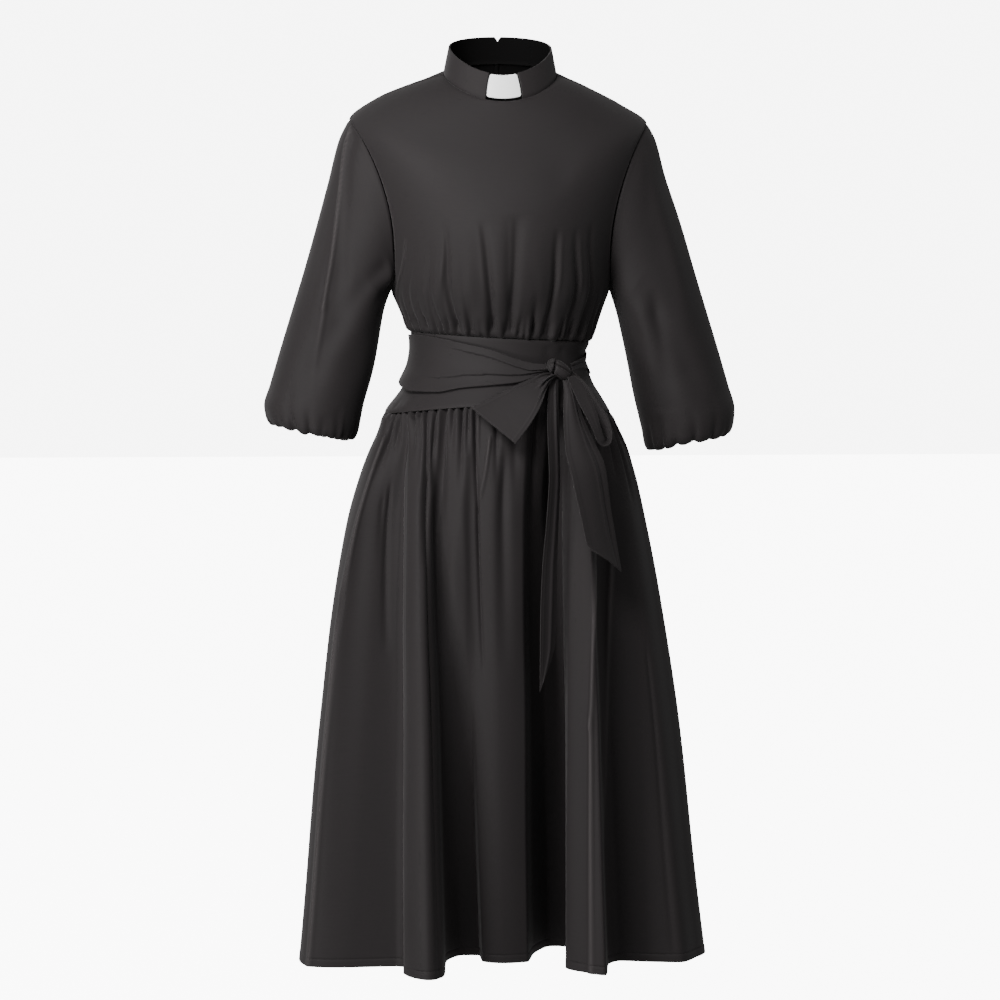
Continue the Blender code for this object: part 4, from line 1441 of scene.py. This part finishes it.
FRONT_CREASES = table(
    Crease,
    (-259, 100, -250, 206, 2.5, -2.2, 1.2, 0.1), (-177, -8, -174, 190, 4.5, -7, 0.5),
    (-66, -8, -52, 132, 3.2, -6.5, 0.25, 0.06, 0.2), (-54, 112, -47, 330, 3, -5, 0.6, 0.1, 0.2),
    (-56, -4, -56, 150, 3, 2.4, 0.5, 0.06, 0.2),
    (-31, 34, -54, 124, 2.8, 3.2, 0.5, 0.1, 0.2, -4), (0, 40, 0, 330, 9, -7, 0.8, 0.2),
    (-108, 120, -113, 365, 10, 5, 0.7, 0.4), (-140, 60, -146, 300, 9, -4, 0.7, 0.4),
    (-282, 20, -297, 235, 3.6, 3.2, 0.2, 0.1, 0.2),
    (-297, 205, -290, 760, 3.4, 3.4, 0.1, 0.15, 0.3),
    (-251, 85, -243, 300, 2.2, -4.4, 0.5, 0.1, 0.2),
    (-278, 30, -262, 740, 12, -5, 0.2, 0.25, 0.6),
    (-242, 40, -235, 800, 20, -11, 0.15, 0.15, 0.3),
    (-167, 30, -173, 800, 6, -8, 0.25, 0.1, 0.6), (-233, 60, -226, 740, 2, -3.6, 0.1, 0.1, 0.2),
    (-227, 30, -220, 740, 3.4, 3.2, 0.1, 0.1, 0.2), (106, 30, 112, 900, 16, -12, 0.4, 0.1, 0.2),
    (20, -4, 22, 120, 7, -4, 0.7), (100, -4, 96, 170, 8, -5, 0.7),
    (140, -4, 136, 150, 6, -4, 0.7), (288, 280, 284, 680, 3.4, -2.2, 0.3, 0.1, 0.2),
    (250, 130, 203, 540, 4, 3.4, 0.5, 0.1, 0.3), (206, 140, 184, 390, 3, 3.6, 0.1, 0.1, 0.2),
    (185, 360, 177, 760, 3, 3.6, 0.1, 0.08, 0.2), (-266, -6, -274, 90, 4.6, -7.4, 0.8),
    (-248, -6, -251, 50, 4, -6.4, 0.8), (-229, -6, -235, 130, 5, -8, 0.8),
    (-208, -6, -211, 60, 4, -7, 0.8), (-191, -6, -197, 90, 4.6, -7, 0.8),
    (-152, -6, -156, 100, 4.6, -8, 0.8), (-129, -6, -132, 150, 5, -8, 0.8),
    (-110, -6, -113, 60, 4, -6.6, 0.8), (-92, -6, -94, 110, 4.6, -7.6, 0.8),
    (-77, -6, -78, 60, 3.4, -5.6, 0.8), (-20, -4, -16, 96, 3.4, -4.4, 0.7),
    (60, -4, 62, 150, 3.4, -4.4, 0.7), (220, -4, 226, 110, 3.4, -4, 0.7),
    (262, -4, 270, 90, 3.4, -4, 0.7), (296, -4, 306, 120, 3.4, -4, 0.7),
    (326, -4, 336, 80, 3.4, -3.4, 0.7),
)

BACK_CREASES = table(
    Crease,
    (-300, -4, -312, 140, 3.4, -3.4, 0.8), (-232, -4, -236, 210, 4, -4, 0.7),
    (-150, -4, -148, 120, 3.4, -3.2, 0.8), (-84, -4, -90, 240, 5, -4.2, 0.7),
    (-8, -4, -4, 130, 3.4, -3.2, 0.8), (70, -4, 78, 220, 4.4, -4, 0.7),
    (136, -4, 134, 110, 3.4, -3, 0.8), (214, -4, 222, 190, 4.2, -3.8, 0.7),
    (286, -4, 296, 120, 3.4, -3.2, 0.8), (-190, 160, -196, 420, 9, 3, 0.7, 0.4),
    (32, 140, 26, 380, 9, 3.2, 0.7, 0.4), (172, 180, 182, 460, 9, 3, 0.7, 0.4),
)

SWAY = table(
    Sway,
    (0, 0), (70, -3.5), (150, -6.2), (240, -6), (380, -3.6), (520, -2.6), (690, 0),
)

SKIRT_HALVES = (
    SkirtHalf("front", FRONT_FOLDS, -90, Gathers(19, 2.6, 8, 30, 110, 1.9), FRONT_CREASES, 340),
    SkirtHalf("back", BACK_FOLDS, 90, Gathers(23, 3.6, 8, 36, 200, 2.7), BACK_CREASES, 260),
)
HEM_PLACES = np.array((14.0, 12.5, 11.4, 10.4, 9.4, 7.5, 5.0, 2.6, 1.0, 0.0)) * MM


@dataclass
class Skirt(Sewn):
    """Skirt front and back, gathered into the waistband, with a narrow stitched hem."""

    band: Waistband
    rows: tuple[SkirtRow, ...] = SKIRT_ROWS
    hem_z: float = -1110 * MM
    length: float = 690 * MM
    flat_width: float = 720 * MM
    seam_lap: float = 0.15 * MM
    settle: float = 0.012
    hem_depth: float = 10 * MM
    hem_rise: float = 0.35 * MM
    stitch_dent: float = 0.7 * MM
    stitch_width: float = 0.9 * MM
    seam_depth: float = 1.1 * MM
    seam_width: float = 2.2 * MM
    tuck_up: float = 1.6 * MM
    tuck_in: float = 1.4 * MM
    fine_gathers: Gathers = Gathers(58, 0.9, 4, 8, 24, 2.2)

    def surface(self, folds: Sequence[FoldLine], angles: Array, along: Array) -> Array:
        """Skirt points with their large folds.

        Args:
            folds: the ridge and hollow lines.
            angles: seam angles, in degrees.
            along: 0 at the skirt seam and 1 at the hem.

        Returns:
            A grid of points, rows along by columns across.
        """
        seam = self.band.surface(angles, np.array(1.0))
        _, lines, hem_x, hem_y, growth = (np.array(values) for values in zip(*folds))
        line_seam = self.band.surface(lines, np.array(1.0))
        first, last = self.rows[0], self.rows[-1]
        names = "half_width front back"
        width, front, back = columns(self.rows, names, along * last.drop, "drop", unit=1.0)
        spreading = (width - first.half_width) / (last.half_width - first.half_width)
        sideways = np.sin(np.radians(lines)) ** 4
        ahead = np.cos(np.radians(lines)) >= 0
        full = np.where(ahead, last.front / first.front, last.back / first.back)
        rows = []
        for step, t in enumerate(along):
            swell = np.where(ahead, front[step] / first.front, back[step] / first.back)
            move = t + (spreading[step] - t) * sideways
            line_x = line_seam[:, 0] + (hem_x * MM - line_seam[:, 0]) * move
            line_y = line_seam[:, 1] * swell + (hem_y * MM - line_seam[:, 1] * full) * t**growth
            settle = ease(t / self.settle)
            x = seam[:, 0] + (monotone(lines, line_x, angles) - seam[:, 0]) * settle
            y = seam[:, 1] + (monotone(lines, line_y, angles) - seam[:, 1]) * settle
            rows.append(stack(x, y, seam[:, 2] + (self.hem_z - seam[:, 2]) * t))
        return np.array(rows)

    def build(self) -> None:
        """Make the front and back of the skirt."""
        fall = (np.linspace(0.0013, 0.09, 30), np.linspace(0.09, 0.975, 78)[1:])
        along = np.concatenate((*fall, 1.0 - HEM_PLACES / self.length))
        drop = along[:, None] * self.length
        up = self.length - drop
        for half in SKIRT_HALVES:
            places = spread(half.count, EDGE_PLACES[:6], self.flat_width)
            grid = self.surface(half.folds, half.start + places * 180.0, along)
            grid[..., 0] += columns(SWAY, "shift", drop / MM, "drop")[0]
            places = places[None, :]
            flat_u = (places - 0.5) * self.flat_width
            relief, painted_highlight = creased(half.creases, flat_u, drop)
            relief = relief + half.gathers.relief(places, drop, 1.5)
            relief = relief + self.fine_gathers.relief(places, drop, 1.3)
            relief = relief + self.hem_rise * ease((self.hem_depth - up) / (0.8 * MM))
            relief = relief - self.stitch_dent * bell(up - self.hem_depth, self.stitch_width)
            beside = edge_distance(places, self.flat_width)
            seams = np.minimum(bell(beside, self.seam_width) + bell(drop, self.seam_width), 1.0)
            relief = relief - self.seam_depth * seams
            normals = grid_normals(grid) * facing(grid)
            grid = grid + normals * relief[..., None]
            grid[0] += np.array((0.0, 0.0, self.tuck_up)) - normals[0] * self.tuck_in
            for edge, inner in ((0, 1), (-1, -2)):
                grid[:, edge] += unit_vectors(grid[:, edge] - grid[:, inner]) * self.seam_lap
            sheet = Sheet(f"skirt_{half.word}_cloth", grid, flat_u, up[:, 0], painted_highlight=painted_highlight)
            cut = Cut(1.20, 0.71, Hold.GATHERED, 0.68, (f"waistband_{half.word}_cloth",))
            self.wardrobe.add(sheet.build(self.finish), "dress_crepe", cut)


@dataclass
class Collar(Sewn):
    """Two stiff collar bands that leave a window in front, and the white tab behind it."""

    bodice: Bodice
    white: Material
    height: float = 33.5 * MM
    half_neck: float = 190 * MM
    tab_radius: float = 65 * MM
    middle_y: float = -4 * MM
    rise_gap: float = 0.35 * MM
    taper: float = 0.905
    wall: float = 2.4 * MM
    tab_wall: float = 1.0 * MM
    tab_inset: float = 2.3 * MM
    edge_radius: float = 0.7 * MM
    tuck: float = 1.2 * MM
    tuck_reach: float = 1.5 * MM
    notch: float = 3.6
    notch_from: float = 0.85
    bowing: float = 2.2
    back_gap: float = -0.15
    tab_lap: float = 5.5
    right_window: tuple[float, float] = (17.6, 14.9)
    left_window: tuple[float, float] = (19.9, 16.5)

    def surface(self, degrees: Array, height: Array, inset: Any) -> Array:
        """Collar points.

        Args:
            degrees: degrees from the centre front, rows by columns.
            height: 0 to 1 up the collar, rows by columns.
            inset: how far inside the band, in metres, one value or one for each row.

        Returns:
            A grid of points.
        """
        ahead = np.abs(degrees) <= 90.0
        q = np.where(ahead, np.abs(degrees), 180.0 - np.abs(degrees)) / 90.0
        signed = np.where(degrees >= 0, q, -q).reshape(-1)
        front, back = (self.bodice.surface(panel, signed, np.array((1.0,)))[0] for panel in Panel)
        grid = np.where(ahead.reshape(-1, 1), front, back).reshape(degrees.shape + (3,))
        flat = (grid - np.array((0.0, self.middle_y, 0.0))) * np.array((1.0, 1.0, 0.0))
        grid = grid + flat * (self.taper - 1.0) * height[..., None] - unit_vectors(flat) * inset
        grid[..., 2] += self.rise_gap + height * (self.height - self.rise_gap)
        return grid

    def _band(self, side: Side, window: tuple[float, float]) -> None:
        """Make one band.

        Args:
            side: the wearer's right or left.
            window: degrees from the centre front to its front edge, at the bottom and top.
        """
        rows = spread(16, EDGE_PLACES[:4], self.height)[:, None]
        tuck = self.tuck * bell(rows * self.height, self.tuck_reach)
        start = window[0] + (window[1] - window[0]) * rows**self.bowing
        notch = np.clip((rows - self.notch_from) / (1.0 - self.notch_from), 0.0, 1.0)
        end = 180.0 - self.back_gap - self.notch * notch
        part = spread(90, EDGE_PLACES[:4], self.half_neck)[None, :]
        degrees = side.value * (start + (end - start) * part)
        height = np.broadcast_to(rows, degrees.shape)
        grid = self.surface(degrees, height, tuck[..., None])
        grid[..., 2] -= 1.6 * tuck
        name = f"collar_{side.name.lower()}_cloth"
        sheet = Sheet(name, grid, part * self.half_neck, rows[:, 0] * self.height, wall=self.wall)
        # The collar's inside wears the darker black: painted shade.
        piece = sheet.build(self.finish, self.bodice.lining)
        soften = piece.modifiers.new("turned edge", "BEVEL")
        soften.width = self.edge_radius
        soften.segments = 3
        soften.limit_method = "ANGLE"
        soften.angle_limit = np.radians(60.0)
        self.wardrobe.add(piece, "collar_crepe", Cut(0.20, 0.045, Hold.STRETCHED, 0.0066))

    def build(self) -> None:
        """Make both bands and the tab."""
        self._band(Side.RIGHT, self.right_window)
        self._band(Side.LEFT, self.left_window)
        rows = np.linspace(0.07, 0.97, 16)
        reach = self.tab_lap + np.array((self.right_window[0], self.left_window[0]))
        turns = np.linspace(-reach[0], reach[1], 40)[None, :]
        degrees, height = np.broadcast_arrays(turns, rows[:, None])
        grid = self.surface(degrees, height, self.tab_inset)
        across = np.radians(turns) * self.tab_radius
        sheet = Sheet("collar_tab_insert", grid, across, rows * self.height, wall=self.tab_wall)
        cut = Cut(0.058, 0.034, Hold.STRETCHED, 0.00175)
        self.wardrobe.add(sheet.build(self.white), "collar_tab", cut)


class WrapRow(NamedTuple):
    """A place along a stretch of sash on the waistband: its edges and their lifts."""

    angle: float
    top: float
    bottom: float
    top_lift: float
    bottom_lift: float


class StripRow(NamedTuple):
    """A section of a loose end of the sash: its two edges."""

    x1: float
    y1: float
    z1: float
    x2: float
    y2: float
    z2: float


class WrapFold(NamedTuple):
    """A fold of the wrap that overhangs a line below its top edge.

    The line is a part of the wrap's depth at its start and end, and no further from the
    top edge than its reach in millimetres, where that is given. It begins at a row of the
    wrap's table and comes up over some rows more.
    """

    start: float
    end: float
    width: float
    rise: float
    begin: float
    lead: float
    reach: float = 0.0


class Pleat(NamedTuple):
    """A fold that runs along a strip: its line at the start and end, 0 to 1 across."""

    start: float
    end: float
    width: float
    rise: float
    fade_from: float = 0.7
    fade_to: float = 1.05


class Groove(NamedTuple):
    """A hollow that winds along the knot: its place and twist, width and depth."""

    place: float
    twist: float
    width: float
    depth: float


FRONT_WRAP = table(
    WrapRow,
    (-90, -321, -381, 3.6, 8.5), (-75, -320.5, -387, 3.2, 8), (-58, -321.5, -391.5, 3.2, 7),
    (-41, -325, -391.5, 3.4, 5.4), (-25, -331, -385.8, 3.8, 4.8), (-9.5, -338, -382.4, 4.4, 5),
    (6.7, -349.8, -378.8, 5.4, 6.4), (17, -355.4, -372.5, 7.5, 8.5),
    (26.5, -357.5, -367.5, 10.5, 11),
)
BACK_WRAP = table(
    WrapRow,
    (270, -321, -381, 3.6, 8.5), (240, -322, -386, 4, 6.8), (210, -324, -387, 4, 5.6),
    (180, -326, -386, 4, 5.6), (150, -329, -383, 4, 5.4), (122, -335, -378, 4, 4.4),
    (104, -341, -374, 3, 2.6), (90, -344, -372, 2.2, 2.2),
)
LEFT_STRAND = table(
    WrapRow,
    (90, -344, -372, 2.2, 2.2), (74, -348, -364.5, 4.2, 4), (58, -352.4, -363, 5.5, 5.8),
    (44, -356, -366, 11, 11.5),
)
BOW_END = table(
    StripRow,
    (60, -110.5, -366.5, 65, -110, -371.5), (48, -117, -367, 54, -119, -380),
    (33, -121, -373, 49.5, -128, -390), (11, -128, -382, 43, -140, -406),
    (-14, -135, -394.5, 30, -151, -428), (-45, -143, -409, 9.5, -161, -454),
)
LOOP = table(
    StripRow,
    (76, -110, -369, 78, -104, -366), (80, -121, -380, 94, -112, -377),
    (86, -131, -394, 102, -121, -391), (93, -138, -409, 109, -128, -406),
    (101, -144, -424, 114, -134, -421), (108, -147, -438, 117, -138, -435),
    (113, -148, -451, 121, -139, -448), (121, -145, -457.5, 124, -134, -452),
    (129, -140, -455, 128, -126, -449), (132, -134, -444, 124, -118, -441),
    (130, -128, -430, 116, -112, -428), (124, -123, -416, 108, -109, -414),
    (115, -118, -402, 100, -107, -401), (107, -113, -388, 93, -105, -387),
    (95, -107, -374, 86, -102, -374), (79, -104, -362, 80, -99, -363),
)
NARROW_TAIL = table(
    StripRow,
    (63, -106, -370, 67, -105, -370), (54, -119, -389, 66, -113, -388),
    (51.5, -143, -436, 65, -130, -436), (52, -164, -490, 65, -148, -490),
    (48, -172, -550, 62.5, -157, -550), (42.5, -176, -608, 60.5, -161, -608),
    (40, -178, -668, 59.5, -163, -668), (39.5, -179, -715, 58, -165, -702),
    (39, -180, -762, 44, -177, -747),
)
WIDE_TAIL = table(
    StripRow,
    (71, -106, -370, 75, -105, -369), (73, -119, -389, 86, -115, -386),
    (71.5, -140, -426, 98, -129, -424), (72, -158, -458, 110, -142, -452),
    (79.5, -171, -494, 123, -150, -484), (89.5, -177, -541, 130, -153, -536),
    (99, -180, -580, 138, -155, -584), (108, -181, -587, 143, -157, -614),
)
WRAP_FOLDS = table(
    WrapFold,
    (0.2, 0.5, 12, 2.6, 3, 1.2, 9.5), (0.76, 0.66, 12, 3, 1.6, 1.8),
    (0.88, 0.86, 6, 1.4, 6.4, 1.2),
)
BOW_PLEATS = table(
    Pleat,
    (0.3, 0.1, 0.1, 2, 0.2, 0.55), (0.58, 0.56, 0.07, -4, 0.22, 0.5),
    (0.68, 0.72, 0.05, 2.4, 0.2, 0.5), (0.82, 0.88, 0.05, -3, 0.25, 0.6),
    (0.92, 0.94, 0.05, 2, 0.3, 0.7),
)
GROOVES = table(
    Groove,
    (218, 0.35, 0.1, 0.16), (150, -0.25, 0.16, 0.34), (262, 0.2, 0.16, 0.3),
    (310, 0.2, 0.2, 0.14), (40, 0.1, 0.2, 0.14),
)


class Stretch(NamedTuple):
    """A stretch of sash on the waistband, with its points along and across it."""

    name: str
    rows: tuple[WrapRow, ...]
    count: int
    lines: int
    start: float
    cut: Cut


class LooseEnd(NamedTuple):
    """A loose end of the sash, with its points, folds and waves across it."""

    name: str
    rows: tuple[StripRow, ...]
    count: int
    lines: int
    pleats: tuple[Pleat, ...]
    waves: float
    wave_rise: float
    cut: Cut


STRETCHES = (
    Stretch("sash_wrap", FRONT_WRAP, 150, 60, 0.012, Cut(0.21, 0.09, Hold.DRAPED, 0.0145)),
    Stretch("sash_back", BACK_WRAP, 120, 24, 0.0, Cut(0.37, 0.062, Hold.DRAPED, 0.019)),
    Stretch("sash_strand", LEFT_STRAND, 40, 16, 0.02, Cut(0.09, 0.014, Hold.DRAPED)),
)
NARROW_PLEATS = table(Pleat, (0.72, 0.62, 0.09, -1.6, 0.85, 1.02))
WIDE_PLEATS = table(Pleat, (0.76, 0.86, 0.05, 1.2), (0.66, 0.76, 0.05, -1.0))
BOW_CUT = Cut(0.115, 0.075, Hold.FOLDED, 0.0058)
LOOP_CUT = Cut(0.205, 0.025, Hold.FOLDED, 0.0037)
NARROW_CUT = Cut(0.40, 0.026, Hold.HUNG, 0.0088)
WIDE_CUT = Cut(0.255, 0.058, Hold.HUNG, 0.011)
LOOSE_ENDS = (
    LooseEnd("sash_bow_end", BOW_END, 60, 80, BOW_PLEATS, 0.5, 1.6, BOW_CUT),
    LooseEnd("sash_loop", LOOP, 22, 170, (), 0.5, 1.0, LOOP_CUT),
    LooseEnd("sash_tail_narrow", NARROW_TAIL, 24, 180, NARROW_PLEATS, 0.5, 1.4, NARROW_CUT),
    LooseEnd("sash_tail_wide", WIDE_TAIL, 40, 140, WIDE_PLEATS, 1.0, 2.0, WIDE_CUT),
)


@dataclass
class Knot:
    """The sash's knot: a lump of wound cloth whose folds run along it."""

    centre: Place = (68 * MM, -105 * MM, -363.5 * MM)
    radii: Place = (18.5 * MM, 12.0 * MM, 10.5 * MM)
    tilt: float = 36.0
    clear: float = 0.9 * MM
    rings: int = 70
    points: int = 120
    tip: float = 0.94
    crossing: float = -0.42
    crossing_lean: float = 0.22
    crossing_width: float = 0.09
    crossing_dip: float = 0.30
    crossing_rise: float = 0.16

    def axes(self) -> Array:
        """The knot's long, deep and upward directions, as rows."""
        cos, sin = np.cos(np.radians(self.tilt)), np.sin(np.radians(self.tilt))
        return np.array(((cos, 0.0, -sin), (0.0, 1.0, 0.0), (sin, 0.0, cos)))

    def push_out(self, points: Array) -> Array:
        """Move points that lie in the knot straight out to just clear of it.

        Args:
            points: any points.

        Returns:
            The points, moved where they lay in it.
        """
        local = (points - np.array(self.centre)) @ self.axes().T
        reach = np.linalg.norm(local / (np.array(self.radii) + self.clear), axis=-1, keepdims=True)
        reach = np.clip(reach, 1e-6, 1.0)
        return local / reach @ self.axes() + np.array(self.centre)

    def build(self, finish: Material) -> Item:
        """Make the lump.

        Args:
            finish: the material it wears.

        Returns:
            The new object.
        """
        polar = np.linspace(0.0, np.pi, self.rings + 2)[1:-1, None]
        turn = np.linspace(0.0, 2 * np.pi, self.points, endpoint=False)[None, :]
        long = np.cos(polar)
        wind = 1.0 + 0.0 * long * turn
        for groove in GROOVES:
            off = turn - np.radians(groove.place) - groove.twist * long
            off = (off + np.pi) % (2.0 * np.pi) - np.pi
            wind = wind - groove.depth * bell(off, groove.width) * np.sin(polar) ** 0.5
        cross = long - self.crossing + self.crossing_lean * np.sin(turn)
        over = self.crossing_rise * ease(-cross / 0.12) * ease((1.0 + long) / 0.2)
        wind = wind - self.crossing_dip * bell(cross, self.crossing_width) + over
        wide = np.sin(polar) ** 0.8 * wind
        local = stack(long * self.tip, wide * np.cos(turn), wide * np.sin(turn)).reshape(-1, 3)
        tips = np.array(((self.tip, 0.0, 0.0), (-self.tip, 0.0, 0.0)))
        local = np.concatenate((local, tips)) * np.array(self.radii)
        top = self.rings * self.points
        last = top - self.points
        faces = quad_cells(self.rings, self.points, self.points).tolist()
        for place in range(self.points):
            following = (place + 1) % self.points
            faces.append((top, following, place))
            faces.append((top + 1, last + place, last + following))
        corners = np.concatenate([np.asarray(face) for face in faces])
        cloth = local[corners][:, (0, 2)]
        points = local @ self.axes() + np.array(self.centre)
        return make_piece("sash_knot_cloth", points, faces, cloth, finish)


@dataclass
class Sash(Sewn):
    """The sash: its stretches on the waistband, its knot and its loose ends."""

    band: Waistband
    knot: Knot = field(default_factory=Knot)
    fold_edge: float = 1.6 * MM
    least_lift: float = 1.7 * MM
    hem: float = 5.0 * MM
    hem_dent: float = 0.35 * MM
    hem_width: float = 0.8 * MM
    crease: float = 0.6 * MM
    ridge: float = 0.4 * MM
    wall: float = 0.9 * MM

    def wrap(self, stretch: Stretch) -> Array:
        """A stretch of sash on the waistband, with the front's folded lip and creases.

        Args:
            stretch: its table of edges and its points.

        Returns:
            A grid of points, rows across by columns along.
        """
        at = np.linspace(stretch.start, len(stretch.rows) - 1.0, stretch.count)[None, :]
        (angle,) = columns(stretch.rows, "angle", at, "", unit=1.0)
        names = "top bottom top_lift bottom_lift"
        top, bottom, top_lift, bottom_lift = columns(stretch.rows, names, at, "")
        across = np.linspace(0.0, 1.0, stretch.lines)[:, None]
        lift = top_lift + (bottom_lift - top_lift) * across
        if stretch.rows is FRONT_WRAP:
            depth = top - bottom
            for fold in WRAP_FOLDS:
                line = depth * (fold.start + (fold.end - fold.start) * ease(at / 8.0))
                line = np.minimum(line, fold.reach * MM) if fold.reach else line
                below = across * depth - line
                body = np.where(below < 0, np.exp(below / (fold.width * MM)), 0.0)
                edge = 1.0 - ease(below / self.fold_edge + 0.5)
                strength = ease((at - fold.begin) / fold.lead)
                lift = lift + fold.rise * MM * body * np.minimum(edge * 2.0, 1.0) * strength
        else:
            lift = lift - self.crease * bell(across - 0.45, 0.08)
            lift = lift + self.ridge * bell(across - 0.2, 0.08)
        lift = np.maximum(lift, self.least_lift)
        points, out = self.band.at_height(angle[0], top + (bottom - top) * across)
        return points + out * lift[..., None]

    def strip(self, end: LooseEnd) -> Array:
        """A loose end of the sash.

        Args:
            end: its sections, points and folds.

        Returns:
            A grid of points, rows along by columns across.
        """
        at = np.linspace(0.0, len(end.rows) - 1.0, end.lines)
        x1, y1, z1, x2, y2, z2 = columns(end.rows, "x1 y1 z1 x2 y2 z2", at[:, None], "")
        start, run = stack(x1, y1, z1), stack(x2 - x1, y2 - y1, z2 - z1)
        across = np.linspace(0.0, 1.0, end.count)[None, :]
        along = np.linspace(0.0, 1.0, end.lines)[:, None]
        grid = start + run * across[..., None]
        fade = ease(along / 0.25) * (1.0 - 0.55 * along)
        relief = np.cos(2.0 * np.pi * end.waves * across) * fade * end.wave_rise * MM
        for pleat in end.pleats:
            line = pleat.start + (pleat.end - pleat.start) * along
            fade = ease((pleat.fade_to - along) / (pleat.fade_to - pleat.fade_from))
            strength = ease(along / 0.12) * fade
            relief = relief + pleat.rise * MM * bell(across - line, pleat.width) * strength
        beside = edge_distance(across, np.linalg.norm(run, axis=-1))
        dent = self.hem_dent * bell(beside - self.hem, self.hem_width)
        relief = relief - dent * ease(along / 0.3)
        return grid + grid_normals(grid) * relief[..., None]

    def _add(self, part: Stretch | LooseEnd, grid: Array, sizes: tuple[float, float]) -> None:
        """Args:
            part: the stretch or loose end.
            grid: its points.
            sizes: its flat size along its columns and along its rows, in metres.
        """
        grid = self.knot.push_out(grid)
        across = np.linspace(0.0, sizes[0], part.count)[None, :]
        along = np.linspace(0.0, sizes[1], part.lines)
        sheet = Sheet(part.name + "_cloth", grid, across, along, wall=self.wall)
        extra = [self.lump] if part.name == "sash_wrap" else []
        self.wardrobe.add(sheet.build(self.finish), "sash_crepe", part.cut, extra)

    def build(self) -> None:
        """Make every stretch of the sash."""
        self.lump = self.knot.build(self.finish)
        self.wardrobe.add(self.lump, "sash_crepe")
        for part in STRETCHES:
            self._add(part, self.wrap(part), (part.cut.width, part.cut.length))
        for part in LOOSE_ENDS:
            self._add(part, self.strip(part), (part.cut.length, part.cut.width))


class Lamp(NamedTuple):
    """A soft square light: where it stands and faces, its side and its power in watts."""

    name: str
    place: Place
    aim: Place
    size: float
    power: float


LAMPS = (
    Lamp("key", (-0.62, -1.10, 0.58), (0.0, 0.0, -0.27), 0.6, 34.0),
    Lamp("low", (-1.27, -1.27, -0.8), (0.0, 0.0, -0.8), 0.6, 26.0),
    Lamp("back", (-1.4, 2.6, 1.0), (0.0, 0.0, -0.536), 2.0, 25.0),
)


@dataclass
class Studio:
    """Plain pale floor, soft lights and the camera at the picture's viewing angle."""

    aim: Place = (0.0, 0.0, -0.536)
    azimuth: float = -3.5
    elevation: float = 4.5
    distance: float = 3.6
    lens: float = 99.7
    sensor: float = 36.0
    floor_z: float = -1.42
    floor_size: float = 30.0
    room: float = 0.44
    backdrop: float = 9.0

    @staticmethod
    def place(name: str, data: Any, at: Vector, toward: Vector) -> Item:
        """Put a camera or light in the scene.

        Args:
            name: its name.
            data: its camera or light data.
            at: where it stands.
            toward: the direction it faces.

        Returns:
            The new object.
        """
        item = bpy.data.objects.new(name, data)
        item.location = at
        item.rotation_euler = toward.to_track_quat("-Z", "Y").to_euler()
        bpy.context.scene.collection.objects.link(item)
        return item

    def camera(self) -> None:
        """Place the camera."""
        turn, rise = np.radians(self.azimuth), np.radians(self.elevation)
        back = Vector((np.sin(turn) * np.cos(rise), -np.cos(turn) * np.cos(rise), np.sin(rise)))
        data = bpy.data.cameras.new("camera")
        data.lens = self.lens
        data.sensor_width = self.sensor
        data.clip_end = 60.0
        at = Vector(self.aim) + back * self.distance
        bpy.context.scene.camera = self.place("camera", data, at, -back)

    def lights(self) -> None:
        """Place the soft lights."""
        for lamp in LAMPS:
            data = bpy.data.lights.new(lamp.name, "AREA")
            data.shape = "SQUARE"
            data.size = lamp.size
            data.energy = lamp.power
            toward = Vector(lamp.aim) - Vector(lamp.place)
            self.place(lamp.name, data, Vector(lamp.place), toward).visible_camera = False

    def floor(self) -> None:
        """Lay the pale floor."""
        bpy.ops.object.select_all(action="DESELECT")
        bpy.ops.mesh.primitive_plane_add(size=self.floor_size, location=(0.0, 0.0, self.floor_z))
        paper = bpy.context.object
        paper.name = "studio_floor"
        paper.data.materials.append(FloorFinish("studio_paper", self.backdrop).build())
        paper.visible_diffuse = False
        paper.visible_glossy = False

    def surroundings(self) -> None:
        """Fill the room with plain white light, brighter where the camera sees it."""
        world = bpy.data.worlds.new("studio")
        world.use_nodes = True
        bpy.context.scene.world = world
        tree = world.node_tree
        room = tree.nodes["Background"]
        room.inputs["Color"].default_value = (1.0, 1.0, 1.0, 1.0)
        room.inputs["Strength"].default_value = self.room
        paper = tree.nodes.new("ShaderNodeBackground")
        paper.inputs["Strength"].default_value = self.backdrop
        mix = tree.nodes.new("ShaderNodeMixShader")
        path = tree.nodes.new("ShaderNodeLightPath")
        tree.links.new(path.outputs["Is Camera Ray"], mix.inputs[0])
        tree.links.new(room.outputs[0], mix.inputs[1])
        tree.links.new(paper.outputs[0], mix.inputs[2])
        tree.links.new(mix.outputs[0], tree.nodes["World Output"].inputs["Surface"])

    def build(self) -> None:
        """Set up the whole studio."""
        self.camera()
        self.floor()
        self.surroundings()
        self.lights()


def main() -> None:
    """Build the studio and every piece of the dress."""
    logging.basicConfig(level=logging.INFO, format="%(name)s %(message)s")
    bpy.ops.object.select_all(action="DESELECT")
    Studio().build()
    wardrobe = Wardrobe()
    dress = CrepeFinish("dress_crepe").build()
    skirt_cloth = CrepeFinish("skirt_crepe", stitch_lines=(10 * MM,)).build()
    sash_cloth = CrepeFinish("sash_crepe").build()
    collar_cloth = CrepeFinish("collar_crepe", rumple_depth=0.2).build()
    bodice = Bodice(wardrobe, dress, InsideShadeFinish("dark_lining").build())
    band = Waistband(wardrobe, dress)
    bodice.build()
    Sleeves(wardrobe, dress).build()
    band.build()
    Skirt(wardrobe, skirt_cloth, band).build()
    Collar(wardrobe, collar_cloth, bodice, TabFinish("white_tab").build()).build()
    Sash(wardrobe, sash_cloth, band).build()
    LOG.info("%d pieces", wardrobe.count)


if __name__ == "__main__":
    main()
